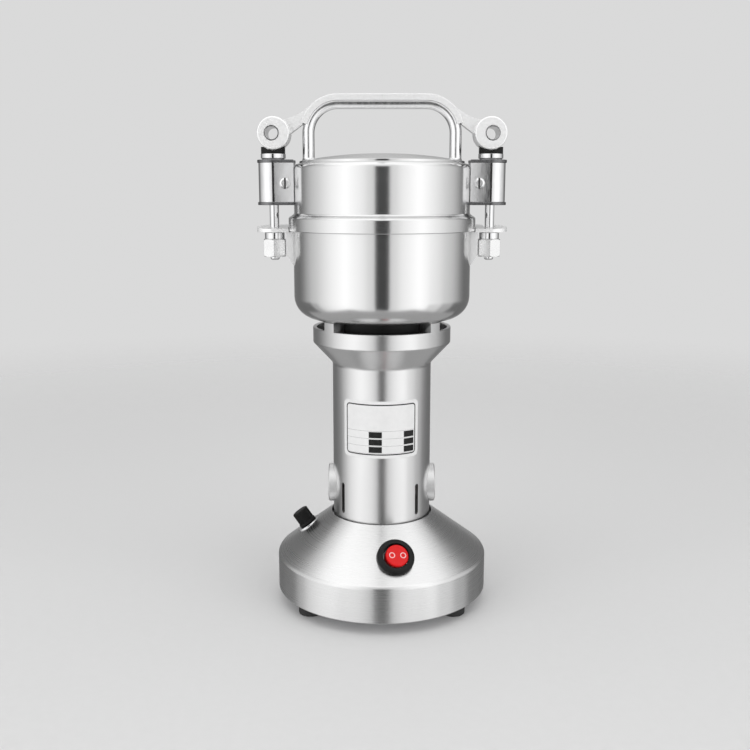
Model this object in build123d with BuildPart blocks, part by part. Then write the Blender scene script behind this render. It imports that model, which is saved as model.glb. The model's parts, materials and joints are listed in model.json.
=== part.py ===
"""Electric grain grinder: a motor column on a round base, a steel bowl with two cutting blades,
and a lid that two cam levers clamp down on the bowl and that swings aside about its hinge rod."""
import math
import os

from build123d import *

# Driving dimensions, in millimetres and degrees. The grinder stands on Z = 0 and its switch faces -Y.
# Base
foot_height = 6.0
foot_radius = 6.5
foot_inset = 9.18
foot_angle = 38.48
foot_recess = 3.0
base_radius = 59.0
rim_height = 20.0
base_height = 42.6
sheet = 1.6
rim_round = 1.0
plate_play = 0.3
boss_radius = 4.0
screw_radius = 1.7
screw_head_radius = 3.0
screw_head = 1.8
screw_grip = 8.0
cord_bore = 3.2
cord_wall = 1.4
cord_flange = 2.2
cord_height = 10.0
# Column, collar and motor
column_radius = 27.2
column_wall = 2.2
column_gap = 0.4
column_length = 86.3
column_insert = 11.0
clamp_width = 6.0
flare_height = 11.4
collar_step = 10.0
collar_height = 8.4
collar_wall = 2.0
seat_width = 3.2
seat_rise = 1.7
lug_height = 4.8
lug_width = 7.5
lug_depth = 8.0
vent_azimuth = 48.0
vent_width = 2.0
vent_length = 17.4
vent_rise = 12.4
brush_rise = 16.4
brush_cap_radius = 10.7
brush_cap_proud = 2.6
brush_neck_radius = 7.0
coin_slot = 1.8
coin_slot_length = 16.0
brush_width = 6.0
brush_length = 8.0
holder_wall = 1.0
shaft_radius = 4.0
shaft_chamfer = 0.8
running_clearance = 0.06
bearing_radius = 11.0
bearing_width = 7.0
bearing_wall = 2.5
cover_flange = 2.5
commutator_radius = 11.0
commutator_length = 14.0
commutator_bars = 12
bar_groove = 0.6
stator_gap = 17.0
stator_length = 36.0
air_gap = 0.6
armature_radius = 15.0
armature_slots = 10
armature_slot = 2.6
armature_slot_depth = 6.5
armature_rim = 1.0
winding_end = 5.0
coil_depth = 4.2
coil_end = 6.0
coil_tooth = 1.2
coil_span = 45.0
coil_leg = 24.0
fan_gap = 8.0
fan_radius = 22.0
fan_hub = 8.0
fan_height = 8.0
fan_blades = 9
fan_sheet = 1.2
fan_blade_turn = 12.0
# Bowl and blades
bowl_radius = 47.8
bowl_height = 55.1
bowl_wall = 1.4
bowl_corner = 12.0
band_sheet = 2.4
band_height = 8.3
band_round = 0.5
seal_radius = 9.0
seal_flange = 2.0
seal_flange_radius = 12.0
blade_sheet = 2.0
blade_hub_radius = 9.0
blade_rise = 7.0
blade_spacing = 6.0
lower_tip_gap = 4.4
upper_tip_gap = 12.4
blade_bend = 28.0
blade_tip_width = 7.0
blade_edge = 4.0
blade_bevel = 1.6
blade_nut_radius = 7.0
blade_nut_height = 6.0
shaft_end = 3.0
# Lid, handle and clamps
lid_step = 0.6
lid_height = 30.4
lid_wall = 1.4
lid_round = 5.5
lid_dome = 2.0
lid_flare = 3.1
lid_brim = 0.2
gasket_web = 1.0
gasket_lip = 3.5
gasket_reach = 1.2
parting_gap = 0.3
handle_inset = 8.1
handle_height = 31.3
handle_bar = 6.4
handle_corner = 15.8
handle_foot = 1.2
rod_reach = 10.2
rod_radius = 2.5
bracket_gap = 5.4
bracket_height = 20.5
bracket_radius = 8.0
bracket_wall = 1.6
bracket_taper = 8.0
end_plate = 1.6
end_plate_lip = 0.6
bracket_screw_inset = 6.6
bracket_screw_rise = 9.8
bracket_screw_round = 1.4
bracket_screw_grip = 5.0
screw_slot = 0.9
screw_slot_depth = 0.8
washer_neck = 0.65
washer_height = 2.5
washer_radius = 6.65
saddle_floor = 1.6
saddle_half = 6.2
cam_clearance = 0.3
cam_radius = 8.5
cam_offset = 0.8
cam_half = 8.0
cam_slot_half = 3.1
cam_round = 0.8
rod_eye_radius = 6.0
rod_eye_half = 2.8
pin_radius = 4.0
pin_bore = 3.25
strap = 1.1
strap_gap = 0.25
strap_split = 0.3
arm_angle = 46.0
arm_root_upper = 125.0
arm_root_lower = 182.0
arm_foot_angle = 14.0
ear_radius = 9.4
ear_drop = 0.5
ear_front = 1.7
ear_back = 3.6
ear_gap = 0.3
gusset = 3.8
gusset_height = 12.4
gusset_taper = 5.6
gusset_half = 8.0
latch_slot_half = 2.9
latch_slot_angle = 12.0
collar_nut_radius = 5.3
collar_nut_height = 3.5
nut_flats = 10.0
nut_height = 9.5
nut_chamfer = 0.7
rod_tip = 1.8
rod_round = 1.2
# Switch and fuse
switch_azimuth = 8.8
switch_reach = 17.1
bezel_radius = 10.0
bezel_height = 3.4
bezel_round = 2.4
switch_body_radius = 8.0
switch_depth = 16.0
rocker_radius = 6.5
rocker_play = 0.5
rocker_height = 3.0
rocker_sink = 2.0
rocker_tilt = 7.0
rocker_pin_radius = 1.2
rocker_pin_reach = 7.4
fuse_azimuth = -96.0
fuse_reach = 14.8
fuse_washer_radius = 7.25
fuse_washer_height = 1.0
fuse_body_radius = 5.2
fuse_depth = 24.0
fuse_cap_radius = 4.7
fuse_cap_height = 8.6
fuse_cap_flange = 1.5
fuse_cap_lip = 0.4
fuse_link_radius = 2.5
fuse_link_length = 20.0
fuse_play = 0.3

# Heights and radii that follow from them
foot_circle = base_radius - foot_inset
foot_x = foot_circle * math.cos(math.radians(foot_angle))
foot_y = foot_circle * math.sin(math.radians(foot_angle))
base_low = foot_height
plate_top = base_low + sheet
rim_top = base_low + rim_height
base_top = base_low + base_height
slope = math.atan2(base_height - rim_height, base_radius - column_radius)
sheet_drop = sheet / math.cos(slope)
opening = column_radius + column_gap
opening_z = base_top - column_gap * math.tan(slope)
switch_radius = column_radius + switch_reach
fuse_radius = column_radius + fuse_reach
column_low = base_top - column_insert
flare_low = base_top + column_length
flare_top = flare_low + flare_height
collar_top = flare_top + collar_height
bore = column_radius - column_wall
collar_radius = bowl_radius - collar_step
flare_slope = flare_height / (collar_radius - column_radius)
flare_drop = column_wall * math.hypot(1, flare_slope)
collar_bore = collar_radius - collar_wall
seat_radius = collar_bore - seat_width
seat_z = flare_top + seat_rise
bowl_bottom = collar_top + lug_height
bowl_floor = bowl_bottom + bowl_wall
bowl_top = bowl_bottom + bowl_height
band_radius = bowl_radius + band_sheet
band_low = bowl_top - band_height
screw_circle = bowl_radius - bowl_corner - screw_head_radius - plate_play
brush_z = base_top + brush_rise
cap_face = column_radius + brush_cap_proud
lower_bearing_z = base_top - bearing_wall
upper_bearing_z = seat_z - bearing_width + cover_flange
hub_radius = bearing_radius + bearing_wall
stator_low = brush_z + stator_gap
stator_top = stator_low + stator_length
stator_bore = armature_radius + air_gap
fan_low = stator_top + fan_gap
seal_top = bowl_floor + seal_flange
lower_blade_reach = bowl_radius - bowl_wall - lower_tip_gap
upper_blade_reach = bowl_radius - bowl_wall - upper_tip_gap
lower_blade_z = bowl_floor + blade_rise
upper_blade_z = lower_blade_z + blade_sheet + blade_spacing
blade_nut_z = upper_blade_z + blade_sheet
shaft_top = blade_nut_z + blade_nut_height + shaft_end
shaft_low = lower_bearing_z - bearing_wall
lid_radius = bowl_radius - lid_step
lid_low = bowl_top + parting_gap
lid_top = bowl_top + lid_height
lid_inside = lid_radius - lid_wall
lid_neck = lid_low + lid_brim + lid_flare
groove_top = lid_low + gasket_web
gasket_radius = lid_radius + gasket_reach
handle_half = lid_radius - handle_inset
handle_z = lid_top + handle_height - handle_bar / 2
foot_rise = lid_dome * (1 - (handle_half / lid_radius) ** 2)
rod_x = bowl_radius + rod_reach
bracket_low = bowl_top + bracket_gap + end_plate
bracket_top = bracket_low + bracket_height
washer_low = bracket_top + end_plate + washer_neck
washer_top = washer_low + washer_height
pivot_z = washer_top + saddle_floor + cam_clearance + cam_radius
cam_x = rod_x - cam_offset
ear_low = band_low - ear_drop
rod_collar_low = ear_low - parting_gap - collar_nut_height
nut_low = rod_collar_low - nut_height
rod_low = nut_low - rod_tip

os.makedirs("parts", exist_ok=True)


def save(builder, name):
    """Label a finished piece and write it as its own STEP file."""
    builder.part.label = name
    export_step(builder.part, f"parts/{name}.step")


def cone_plane(azimuth, radius):
    """A plane on the base's cone, its normal pointing out and its X running level to the right."""
    turn = math.radians(azimuth)
    outward = Vector(math.sin(turn), -math.cos(turn), 0)
    level = Vector(math.cos(turn), math.sin(turn), 0)
    normal = outward * math.sin(slope) + Vector(0, 0, math.cos(slope))
    height = base_top - (radius - column_radius) * math.tan(slope)
    return Plane(outward * radius + Vector(0, 0, height), x_dir=level, z_dir=normal)


def radial_plane(azimuth, height):
    """An upright plane through the axis at this height, its normal pointing out at the azimuth."""
    turn = math.radians(azimuth)
    outward = Vector(math.sin(turn), -math.cos(turn), 0)
    level = Vector(math.cos(turn), math.sin(turn), 0)
    return Plane(Vector(0, 0, height), x_dir=level, z_dir=outward)


switch_plane = cone_plane(switch_azimuth, switch_radius)
fuse_plane = cone_plane(fuse_azimuth, fuse_radius)
vent_azimuths = (-vent_azimuth, vent_azimuth, 180 - vent_azimuth, vent_azimuth - 180)
lug_points = [
    (screw_circle * math.sin(math.radians(a)), -screw_circle * math.cos(math.radians(a)))
    for a in vent_azimuths
]

# Base: a spun shell closed by a plate, on four rubber feet

with BuildPart() as base_shell:
    with BuildSketch(Plane.XZ):
        with BuildLine():
            Polyline(
                (base_radius, base_low),
                (base_radius, rim_top),
                (opening, opening_z),
                (opening, opening_z - sheet_drop),
                (base_radius - sheet, rim_top + sheet * math.tan(slope) - sheet_drop),
                (base_radius - sheet, base_low),
                close=True,
            )
        make_face()
    revolve(axis=Axis.Z)
    rim_edge = base_shell.edges().filter_by(GeomType.CIRCLE).filter_by(
        lambda e: abs(e.radius - base_radius) < 0.01 and abs(e.center().Z - rim_top) < 0.01
    )
    fillet(rim_edge, rim_round)
    with BuildSketch(Plane.XY.offset(plate_top)):
        with GridLocations(2 * foot_x, 2 * foot_y, 2, 2):
            Circle(boss_radius)
            Circle(screw_radius, mode=Mode.SUBTRACT)
    extrude(until=Until.NEXT)
    with BuildSketch(switch_plane):
        Circle(switch_body_radius + plate_play)
    extrude(amount=2 * bezel_radius, both=True, mode=Mode.SUBTRACT)
    with BuildSketch(fuse_plane):
        Circle(fuse_body_radius + plate_play)
    extrude(amount=2 * fuse_washer_radius, both=True, mode=Mode.SUBTRACT)
    with BuildSketch(Plane.XZ.offset(-base_radius)):
        with Locations((0, base_low + cord_height)):
            Circle(cord_bore + cord_wall)
    extrude(amount=4 * sheet, both=True, mode=Mode.SUBTRACT)
save(base_shell, "base_shell")

with BuildPart() as base_plate:
    with BuildSketch(Plane.XY.offset(base_low)):
        Circle(base_radius - sheet - plate_play)
        with GridLocations(2 * foot_x, 2 * foot_y, 2, 2):
            Circle(screw_radius, mode=Mode.SUBTRACT)
    extrude(amount=sheet)
save(base_plate, "base_plate")

with BuildPart() as rubber_feet:
    with BuildSketch():
        with GridLocations(2 * foot_x, 2 * foot_y, 2, 2):
            Circle(foot_radius)
            Circle(screw_head_radius + plate_play, mode=Mode.SUBTRACT)
    extrude(amount=foot_recess)
    with BuildSketch(Plane.XY.offset(foot_recess)):
        with GridLocations(2 * foot_x, 2 * foot_y, 2, 2):
            Circle(foot_radius)
            Circle(screw_radius, mode=Mode.SUBTRACT)
    extrude(amount=foot_height - foot_recess)
save(rubber_feet, "rubber_feet")

with BuildPart() as foot_screws:
    with BuildSketch(Plane.XY.offset(foot_recess)):
        with GridLocations(2 * foot_x, 2 * foot_y, 2, 2):
            Circle(screw_head_radius)
    extrude(amount=-screw_head)
    with BuildSketch(Plane.XY.offset(foot_recess)):
        with GridLocations(2 * foot_x, 2 * foot_y, 2, 2):
            Circle(screw_radius)
    extrude(amount=foot_height - foot_recess + sheet + screw_grip)
save(foot_screws, "foot_screws")

with BuildPart() as cord_grommet:
    with BuildSketch(Plane.XZ.offset(-base_radius - cord_flange)):
        with Locations((0, base_low + cord_height)):
            Circle(cord_bore + cord_wall + cord_flange)
    extrude(amount=2 * cord_flange + 2 * sheet)
    add(base_shell.part, mode=Mode.SUBTRACT)
    with BuildSketch(Plane.XZ.offset(-base_radius)):
        with Locations((0, base_low + cord_height)):
            Circle(cord_bore)
    extrude(amount=2 * base_radius, both=True, mode=Mode.SUBTRACT)
save(cord_grommet, "cord_grommet")

# Column: a cast housing with a flared collar, clamped into the base from below

with BuildPart() as column_clamp_ring:
    with BuildSketch(Plane.XZ):
        with BuildLine():
            ring_radius = opening + clamp_width
            under_cone = base_top - sheet_drop
            Polyline(
                (column_radius, column_low),
                (ring_radius, column_low),
                (ring_radius, under_cone - (ring_radius - column_radius) * math.tan(slope)),
                (opening, under_cone - column_gap * math.tan(slope)),
                (column_radius, under_cone - column_gap * math.tan(slope)),
                close=True,
            )
        make_face()
    revolve(axis=Axis.Z)
save(column_clamp_ring, "column_clamp_ring")

with BuildPart() as motor_housing:
    with BuildSketch(Plane.XZ):
        with BuildLine():
            Polyline(
                (column_radius, column_low),
                (column_radius, flare_low),
                (collar_radius, flare_top),
                (collar_radius, collar_top),
                (collar_bore, collar_top),
                (collar_bore, seat_z),
                (seat_radius, seat_z),
                (seat_radius, flare_low + (seat_radius - column_radius) * flare_slope + flare_drop),
                (bore, flare_low - column_wall * flare_slope + flare_drop),
                (bore, column_low),
                close=True,
            )
        make_face()
    revolve(axis=Axis.Z)
    with BuildSketch(Plane.XY.offset(seat_z + cover_flange + plate_play)):
        for azimuth in vent_azimuths:
            with PolarLocations(collar_radius, 1, azimuth - 90):
                Rectangle(2 * lug_depth, lug_width)
        Circle(collar_radius, mode=Mode.INTERSECT)
    extrude(amount=bowl_bottom - seat_z - cover_flange - plate_play)
    with BuildSketch(Plane.XY.offset(bowl_bottom)):
        with Locations(*lug_points):
            Circle(screw_radius)
    extrude(amount=-screw_grip, mode=Mode.SUBTRACT)
    for azimuth in vent_azimuths:
        with BuildSketch(radial_plane(azimuth, base_top + vent_rise)):
            SlotOverall(vent_length, vent_width, rotation=90)
        extrude(amount=2 * column_radius, mode=Mode.SUBTRACT)
    with BuildSketch(Plane.YZ):
        with Locations((0, brush_z)):
            Circle(brush_neck_radius)
    extrude(amount=2 * column_radius, both=True, mode=Mode.SUBTRACT)
save(motor_housing, "motor_housing")

with BuildPart() as motor_cover:
    drum_radius = collar_radius - lug_depth - plate_play
    drum_top = bowl_bottom - parting_gap
    bearing_top = upper_bearing_z + bearing_width
    seal_clear = seal_radius + plate_play
    with BuildSketch(Plane.XZ):
        with BuildLine():
            Polyline(
                (bearing_radius, upper_bearing_z),
                (hub_radius, upper_bearing_z),
                (hub_radius, seat_z),
                (collar_bore - plate_play, seat_z),
                (collar_bore - plate_play, seat_z + cover_flange),
                (drum_radius, seat_z + cover_flange),
                (drum_radius, drum_top),
                (seal_clear, drum_top),
                (seal_clear, bearing_top + bearing_wall),
                (bearing_radius - bearing_wall, bearing_top + bearing_wall),
                (bearing_radius - bearing_wall, bearing_top),
                (bearing_radius, bearing_top),
                close=True,
            )
        make_face()
    revolve(axis=Axis.Z)
save(motor_cover, "motor_cover")

with BuildPart() as lower_bearing_bracket:
    hub_top = lower_bearing_z + bearing_width
    with BuildSketch(Plane.XZ):
        with BuildLine():
            Polyline(
                (bearing_radius, lower_bearing_z),
                (bore, lower_bearing_z),
                (bore, lower_bearing_z + bearing_wall),
                (hub_radius, lower_bearing_z + bearing_wall),
                (hub_radius, hub_top + bearing_wall),
                (bearing_radius - bearing_wall, hub_top + bearing_wall),
                (bearing_radius - bearing_wall, hub_top),
                (bearing_radius, hub_top),
                close=True,
            )
        make_face()
    revolve(axis=Axis.Z)
save(lower_bearing_bracket, "lower_bearing_bracket")


def bearing(height):
    """A ball bearing's ring, with a running fit on the shaft."""
    with BuildPart() as ring:
        with BuildSketch(Plane.XY.offset(height)):
            Circle(bearing_radius)
            Circle(shaft_radius + running_clearance, mode=Mode.SUBTRACT)
        extrude(amount=bearing_width)
    return ring


lower_bearing = bearing(lower_bearing_z)
save(lower_bearing, "lower_bearing")
upper_bearing = bearing(upper_bearing_z)
save(upper_bearing, "upper_bearing")

# Motor: laminated field with two coils, a wound armature, brushes on the commutator and a fan

coil_bore = stator_bore + coil_tooth
coil_outer = coil_bore + coil_depth


def coil_sector(radius, span, middle):
    """A slice of a disc, centred on an angle, that a ring is cut to."""
    with BuildSketch() as sector:
        with BuildLine():
            low = math.radians(middle - span / 2)
            high = math.radians(middle + span / 2)
            mid = math.radians(middle)
            start = (radius * math.cos(low), radius * math.sin(low))
            end = (radius * math.cos(high), radius * math.sin(high))
            ThreePointArc(start, (radius * math.cos(mid), radius * math.sin(mid)), end)
            Polyline(end, (0, 0), start)
        make_face()
        Circle(coil_bore, mode=Mode.SUBTRACT)
    return sector


leg_angles = (90 - coil_span, 90 + coil_span, 270 - coil_span, 270 + coil_span)

with BuildPart() as stator_core:
    with BuildSketch(Plane.XY.offset(stator_low)):
        Circle(bore)
        Circle(stator_bore, mode=Mode.SUBTRACT)
        for angle in leg_angles:
            add(coil_sector(coil_outer, coil_leg, angle).sketch, mode=Mode.SUBTRACT)
    extrude(amount=stator_length)
save(stator_core, "stator_core")

with BuildPart() as field_coils:
    with BuildSketch(Plane.XY.offset(stator_low)):
        for angle in leg_angles:
            add(coil_sector(coil_outer, coil_leg, angle).sketch)
    extrude(amount=stator_length)
    for height in (stator_low - coil_end, stator_top):
        with BuildSketch(Plane.XY.offset(height)):
            for angle in (90, 270):
                add(coil_sector(coil_outer, 2 * coil_span + coil_leg, angle).sketch)
        extrude(amount=coil_end)
save(field_coils, "field_coils")

with BuildPart() as motor_shaft:
    with BuildSketch(Plane.XY.offset(shaft_low)):
        Circle(shaft_radius)
    extrude(amount=shaft_top - shaft_low)
    with BuildSketch(Plane.XY.offset(seal_top + parting_gap)):
        Circle(blade_nut_radius)
    extrude(amount=lower_blade_z - seal_top - parting_gap)
    chamfer(motor_shaft.edges().group_by(Axis.Z)[-1], shaft_chamfer)
save(motor_shaft, "motor_shaft")

slot_floor = armature_radius - armature_rim - armature_slot_depth

with BuildPart() as armature_core:
    with BuildSketch(Plane.XY.offset(stator_low)):
        Circle(armature_radius)
        Circle(shaft_radius, mode=Mode.SUBTRACT)
        with PolarLocations(slot_floor + armature_slot_depth / 2, armature_slots):
            Rectangle(armature_slot_depth, armature_slot, mode=Mode.SUBTRACT)
    extrude(amount=stator_length)
save(armature_core, "armature_core")

with BuildPart() as armature_windings:
    with BuildSketch(Plane.XY.offset(stator_low - winding_end)):
        with PolarLocations(slot_floor + armature_slot_depth / 2, armature_slots):
            Rectangle(armature_slot_depth, armature_slot)
    extrude(amount=stator_length + 2 * winding_end)
    for height in (stator_low - winding_end, stator_top):
        with BuildSketch(Plane.XY.offset(height)):
            Circle(armature_radius - armature_rim)
            Circle(slot_floor - armature_rim, mode=Mode.SUBTRACT)
        extrude(amount=winding_end)
save(armature_windings, "armature_windings")

with BuildPart() as commutator:
    with BuildSketch(Plane.XY.offset(brush_z - commutator_length / 2)):
        Circle(commutator_radius)
        Circle(shaft_radius, mode=Mode.SUBTRACT)
        with PolarLocations(commutator_radius, commutator_bars):
            Rectangle(2 * bar_groove, bar_groove, mode=Mode.SUBTRACT)
    extrude(amount=commutator_length)
save(commutator, "commutator")

with BuildPart() as cooling_fan:
    with BuildSketch(Plane.XY.offset(fan_low)):
        Circle(fan_radius)
        Circle(shaft_radius, mode=Mode.SUBTRACT)
    extrude(amount=fan_sheet)
    with BuildSketch(Plane.XY.offset(fan_low)):
        Circle(fan_hub)
        Circle(shaft_radius, mode=Mode.SUBTRACT)
        with PolarLocations((fan_hub + fan_radius) / 2, fan_blades):
            Rectangle(fan_radius - fan_hub, fan_sheet, rotation=fan_blade_turn)
    extrude(amount=fan_height)
save(cooling_fan, "cooling_fan")

brush_face = commutator_radius + running_clearance
holder_start = commutator_radius + holder_wall
spring_radius = brush_width / 2 - running_clearance
brush_back = brush_face + brush_length
cap_neck_end = bore - holder_wall

with BuildPart() as brush_holders:
    with BuildSketch(Plane.YZ.offset(holder_start)):
        with Locations((0, brush_z)):
            Rectangle(brush_width + 2 * holder_wall, brush_width + 2 * holder_wall)
            Rectangle(brush_width, brush_width, mode=Mode.SUBTRACT)
    extrude(amount=cap_neck_end - holder_start)
    mirror(about=Plane.YZ)
save(brush_holders, "brush_holders")

with BuildPart() as carbon_brushes:
    with BuildSketch(Plane.YZ.offset(commutator_radius / 2)):
        with Locations((0, brush_z)):
            Rectangle(brush_width, brush_width)
    extrude(amount=brush_back - commutator_radius / 2)
    with BuildSketch(Plane.XY.offset(brush_z)):
        Circle(brush_face)
    extrude(amount=brush_width, both=True, mode=Mode.SUBTRACT)
    mirror(about=Plane.YZ)
save(carbon_brushes, "carbon_brushes")

with BuildPart() as brush_springs:
    with BuildSketch(Plane.YZ.offset(brush_back)):
        with Locations((0, brush_z)):
            Circle(spring_radius)
            Circle(spring_radius - holder_wall, mode=Mode.SUBTRACT)
    extrude(amount=cap_neck_end - brush_back)
    mirror(about=Plane.YZ)
save(brush_springs, "brush_springs")

with BuildPart() as brush_caps:
    with BuildSketch(Plane.YZ.offset(cap_face)):
        with Locations((0, brush_z)):
            Circle(brush_cap_radius)
    extrude(amount=-column_wall - brush_cap_proud)
    chamfer(brush_caps.edges().group_by(Axis.X)[-1], holder_wall / 2)
    with BuildSketch(Plane.XY.offset(brush_z)):
        Circle(column_radius)
    extrude(amount=2 * brush_cap_radius, both=True, mode=Mode.SUBTRACT)
    with BuildSketch(Plane.YZ.offset(cap_neck_end)):
        with Locations((0, brush_z)):
            Circle(brush_neck_radius)
    extrude(amount=cap_face - cap_neck_end - holder_wall)
    with BuildSketch(Plane.YZ.offset(cap_face)):
        with Locations((0, brush_z)):
            Rectangle(coin_slot_length, coin_slot)
    extrude(amount=-holder_wall, mode=Mode.SUBTRACT)
    mirror(about=Plane.YZ)
save(brush_caps, "brush_caps")

# Bowl: a drawn steel cup with a rim band, screwed to the collar's lugs, and an ear on each side

with BuildPart() as grinding_bowl:
    with BuildSketch(Plane.XY.offset(bowl_bottom)):
        Circle(bowl_radius)
    extrude(amount=bowl_height)
    fillet(grinding_bowl.edges().group_by(Axis.Z)[0], bowl_corner)
    offset(amount=-bowl_wall, openings=grinding_bowl.faces().sort_by(Axis.Z)[-1])
    with BuildSketch(Plane.XY.offset(bowl_bottom)):
        Circle(seal_radius)
        with Locations(*lug_points):
            Circle(screw_radius)
    extrude(amount=bowl_corner / 2, mode=Mode.SUBTRACT)
save(grinding_bowl, "grinding_bowl")

with BuildPart() as bowl_screws:
    with BuildSketch(Plane.XY.offset(bowl_floor)):
        with Locations(*lug_points):
            Circle(screw_head_radius)
    extrude(amount=screw_head)
    with BuildSketch(Plane.XY.offset(bowl_floor)):
        with Locations(*lug_points):
            Circle(screw_radius)
    extrude(amount=-bowl_wall - screw_grip)
    fillet(bowl_screws.edges().group_by(Axis.Z)[-1], screw_head / 2)
save(bowl_screws, "bowl_screws")

with BuildPart() as rim_band:
    with BuildSketch(Plane.XY.offset(band_low)):
        Circle(band_radius)
        Circle(bowl_radius, mode=Mode.SUBTRACT)
    extrude(amount=band_height)
    outer_edges = rim_band.edges().filter_by(GeomType.CIRCLE).filter_by(
        lambda e: abs(e.radius - band_radius) < 0.01
    )
    fillet(outer_edges, band_round)
save(rim_band, "rim_band")

with BuildPart() as shaft_seal:
    with BuildSketch(Plane.XZ):
        with BuildLine():
            seal_bore = shaft_radius + running_clearance
            Polyline(
                (seal_bore, bowl_bottom - bearing_wall),
                (seal_radius, bowl_bottom - bearing_wall),
                (seal_radius, bowl_floor),
                (seal_flange_radius, bowl_floor),
                (seal_radius, seal_top),
                (seal_bore, seal_top),
                close=True,
            )
        make_face()
    revolve(axis=Axis.Z)
save(shaft_seal, "shaft_seal")


def ear():
    """The right ear before its rod opening: a plate that thickens to the rear, on a gusset."""
    with BuildPart() as blank:
        with BuildSketch(Plane.XY.offset(ear_low)):
            with Locations((rod_x, 0)):
                Circle(ear_radius)
            with Locations((rod_x / 2, 0)):
                Rectangle(rod_x, 2 * ear_radius)
            Circle(band_radius + ear_gap, mode=Mode.SUBTRACT)
        extrude(amount=ear_back)
        with BuildSketch(Plane.YZ):
            with BuildLine():
                Polyline(
                    (-ear_radius, ear_low),
                    (ear_radius, ear_low),
                    (ear_radius, ear_low + ear_back),
                    (-ear_radius, ear_low + ear_front),
                    close=True,
                )
            make_face()
        extrude(amount=2 * rod_x, mode=Mode.INTERSECT)
        turn = math.asin(gusset_half / bowl_radius)
        front_edge = Plane(
            (0, 0, 0),
            x_dir=(math.cos(turn), -math.sin(turn), 0),
            z_dir=(-math.sin(turn), -math.cos(turn), 0),
        )
        with BuildSketch(front_edge):
            with BuildLine():
                gusset_low = ear_low - gusset_height
                Polyline(
                    (bowl_radius, gusset_low - gusset_taper),
                    (bowl_radius + gusset, gusset_low),
                    (bowl_radius + gusset, ear_low + ear_front / 2),
                    (band_radius + ear_gap, ear_low + ear_front / 2),
                    (band_radius + ear_gap, band_low - ear_gap),
                    (bowl_radius, band_low - ear_gap),
                    close=True,
                )
            make_face()
        revolve(axis=Axis.Z, revolution_arc=2 * math.degrees(turn))
    return blank


ear_blank = ear()

with BuildPart() as hinge_ear:
    add(ear_blank.part)
    mirror(about=Plane.YZ, mode=Mode.REPLACE)
    with BuildSketch(Plane.XY.offset(ear_low)):
        with Locations((-rod_x, 0)):
            Circle(rod_radius + running_clearance)
    extrude(amount=ear_back, mode=Mode.SUBTRACT)
save(hinge_ear, "hinge_ear")

with BuildPart() as latch_ear:
    add(ear_blank.part)
    with BuildSketch(Plane.XY.offset(ear_low)):
        SlotArc(CenterArc((-rod_x, 0), 2 * rod_x, 0, latch_slot_angle), 2 * latch_slot_half)
    extrude(amount=ear_back, mode=Mode.SUBTRACT)
save(latch_ear, "latch_ear")

# Blades: a flat lower blade and an upper one with raised wings, set crosswise on the shaft


def blade_outline(reach):
    """A two-winged blade from above: a hub and wings that narrow to swept tips."""
    with BuildSketch() as wing:
        with BuildLine():
            half = blade_tip_width / 2
            tip = (reach, half)
            heel = (reach - blade_tip_width, -half)
            Polyline((0, blade_hub_radius), tip, heel, (0, -blade_hub_radius), close=True)
        make_face()
    with BuildSketch() as outline:
        with PolarLocations(0, 2):
            add(wing.sketch)
        Circle(blade_hub_radius)
        Circle(shaft_radius, mode=Mode.SUBTRACT)
    return outline


def leading_edges(blade, reach):
    """The long upper edges on the side that each wing cuts with."""
    return blade.edges().filter_by(GeomType.LINE).filter_by(
        lambda e: e.length > reach / 3 and e.center().X * e.center().Y > 0
    )


with BuildPart() as lower_blade:
    with BuildSketch(Plane.XY.offset(lower_blade_z)):
        add(blade_outline(lower_blade_reach).sketch)
    extrude(amount=blade_sheet)
    cutting = leading_edges(lower_blade, lower_blade_reach).group_by(Axis.Z)[-1]
    chamfer(cutting, length=blade_bevel, length2=blade_edge)
save(lower_blade, "lower_blade")

with BuildPart() as blade_spacer:
    with BuildSketch(Plane.XY.offset(lower_blade_z + blade_sheet)):
        Circle(blade_nut_radius)
        Circle(shaft_radius, mode=Mode.SUBTRACT)
    extrude(amount=blade_spacing)
save(blade_spacer, "blade_spacer")

with BuildPart() as upper_blade:
    rise = (upper_blade_reach - blade_hub_radius) * math.tan(math.radians(blade_bend))
    with BuildSketch(Plane.XZ):
        with BuildLine():
            Polyline(
                (0, upper_blade_z),
                (blade_hub_radius, upper_blade_z),
                (upper_blade_reach, upper_blade_z + rise),
                (upper_blade_reach, upper_blade_z + rise + blade_sheet),
                (blade_hub_radius, upper_blade_z + blade_sheet),
                (0, upper_blade_z + blade_sheet),
                close=True,
            )
        make_face()
        mirror(about=Plane.YZ)
    extrude(amount=2 * blade_hub_radius, both=True)
    with BuildSketch(Plane.XY.offset(upper_blade_z)):
        add(blade_outline(upper_blade_reach).sketch)
    extrude(amount=rise + 2 * blade_sheet, mode=Mode.INTERSECT)
    add(upper_blade.part.rotate(Axis.Z, 90), mode=Mode.REPLACE)
save(upper_blade, "upper_blade")

with BuildPart() as blade_nut:
    with BuildSketch(Plane.XY.offset(blade_nut_z)):
        RegularPolygon(blade_nut_radius, 6)
        Circle(shaft_radius, mode=Mode.SUBTRACT)
    extrude(amount=blade_nut_height)
save(blade_nut, "blade_nut")

# Lid: a drawn steel cover, domed and flared out to the band's width, with a seal and a carrying handle


def round_shoulder(builder, radius, height, rounding):
    """Fillet the circular edge of this radius at this height."""
    shoulder = builder.edges().filter_by(GeomType.CIRCLE).filter_by(
        lambda e: abs(e.radius - radius) < 0.01 and abs(e.center().Z - height) < 0.01
    )
    fillet(shoulder, rounding)


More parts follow.
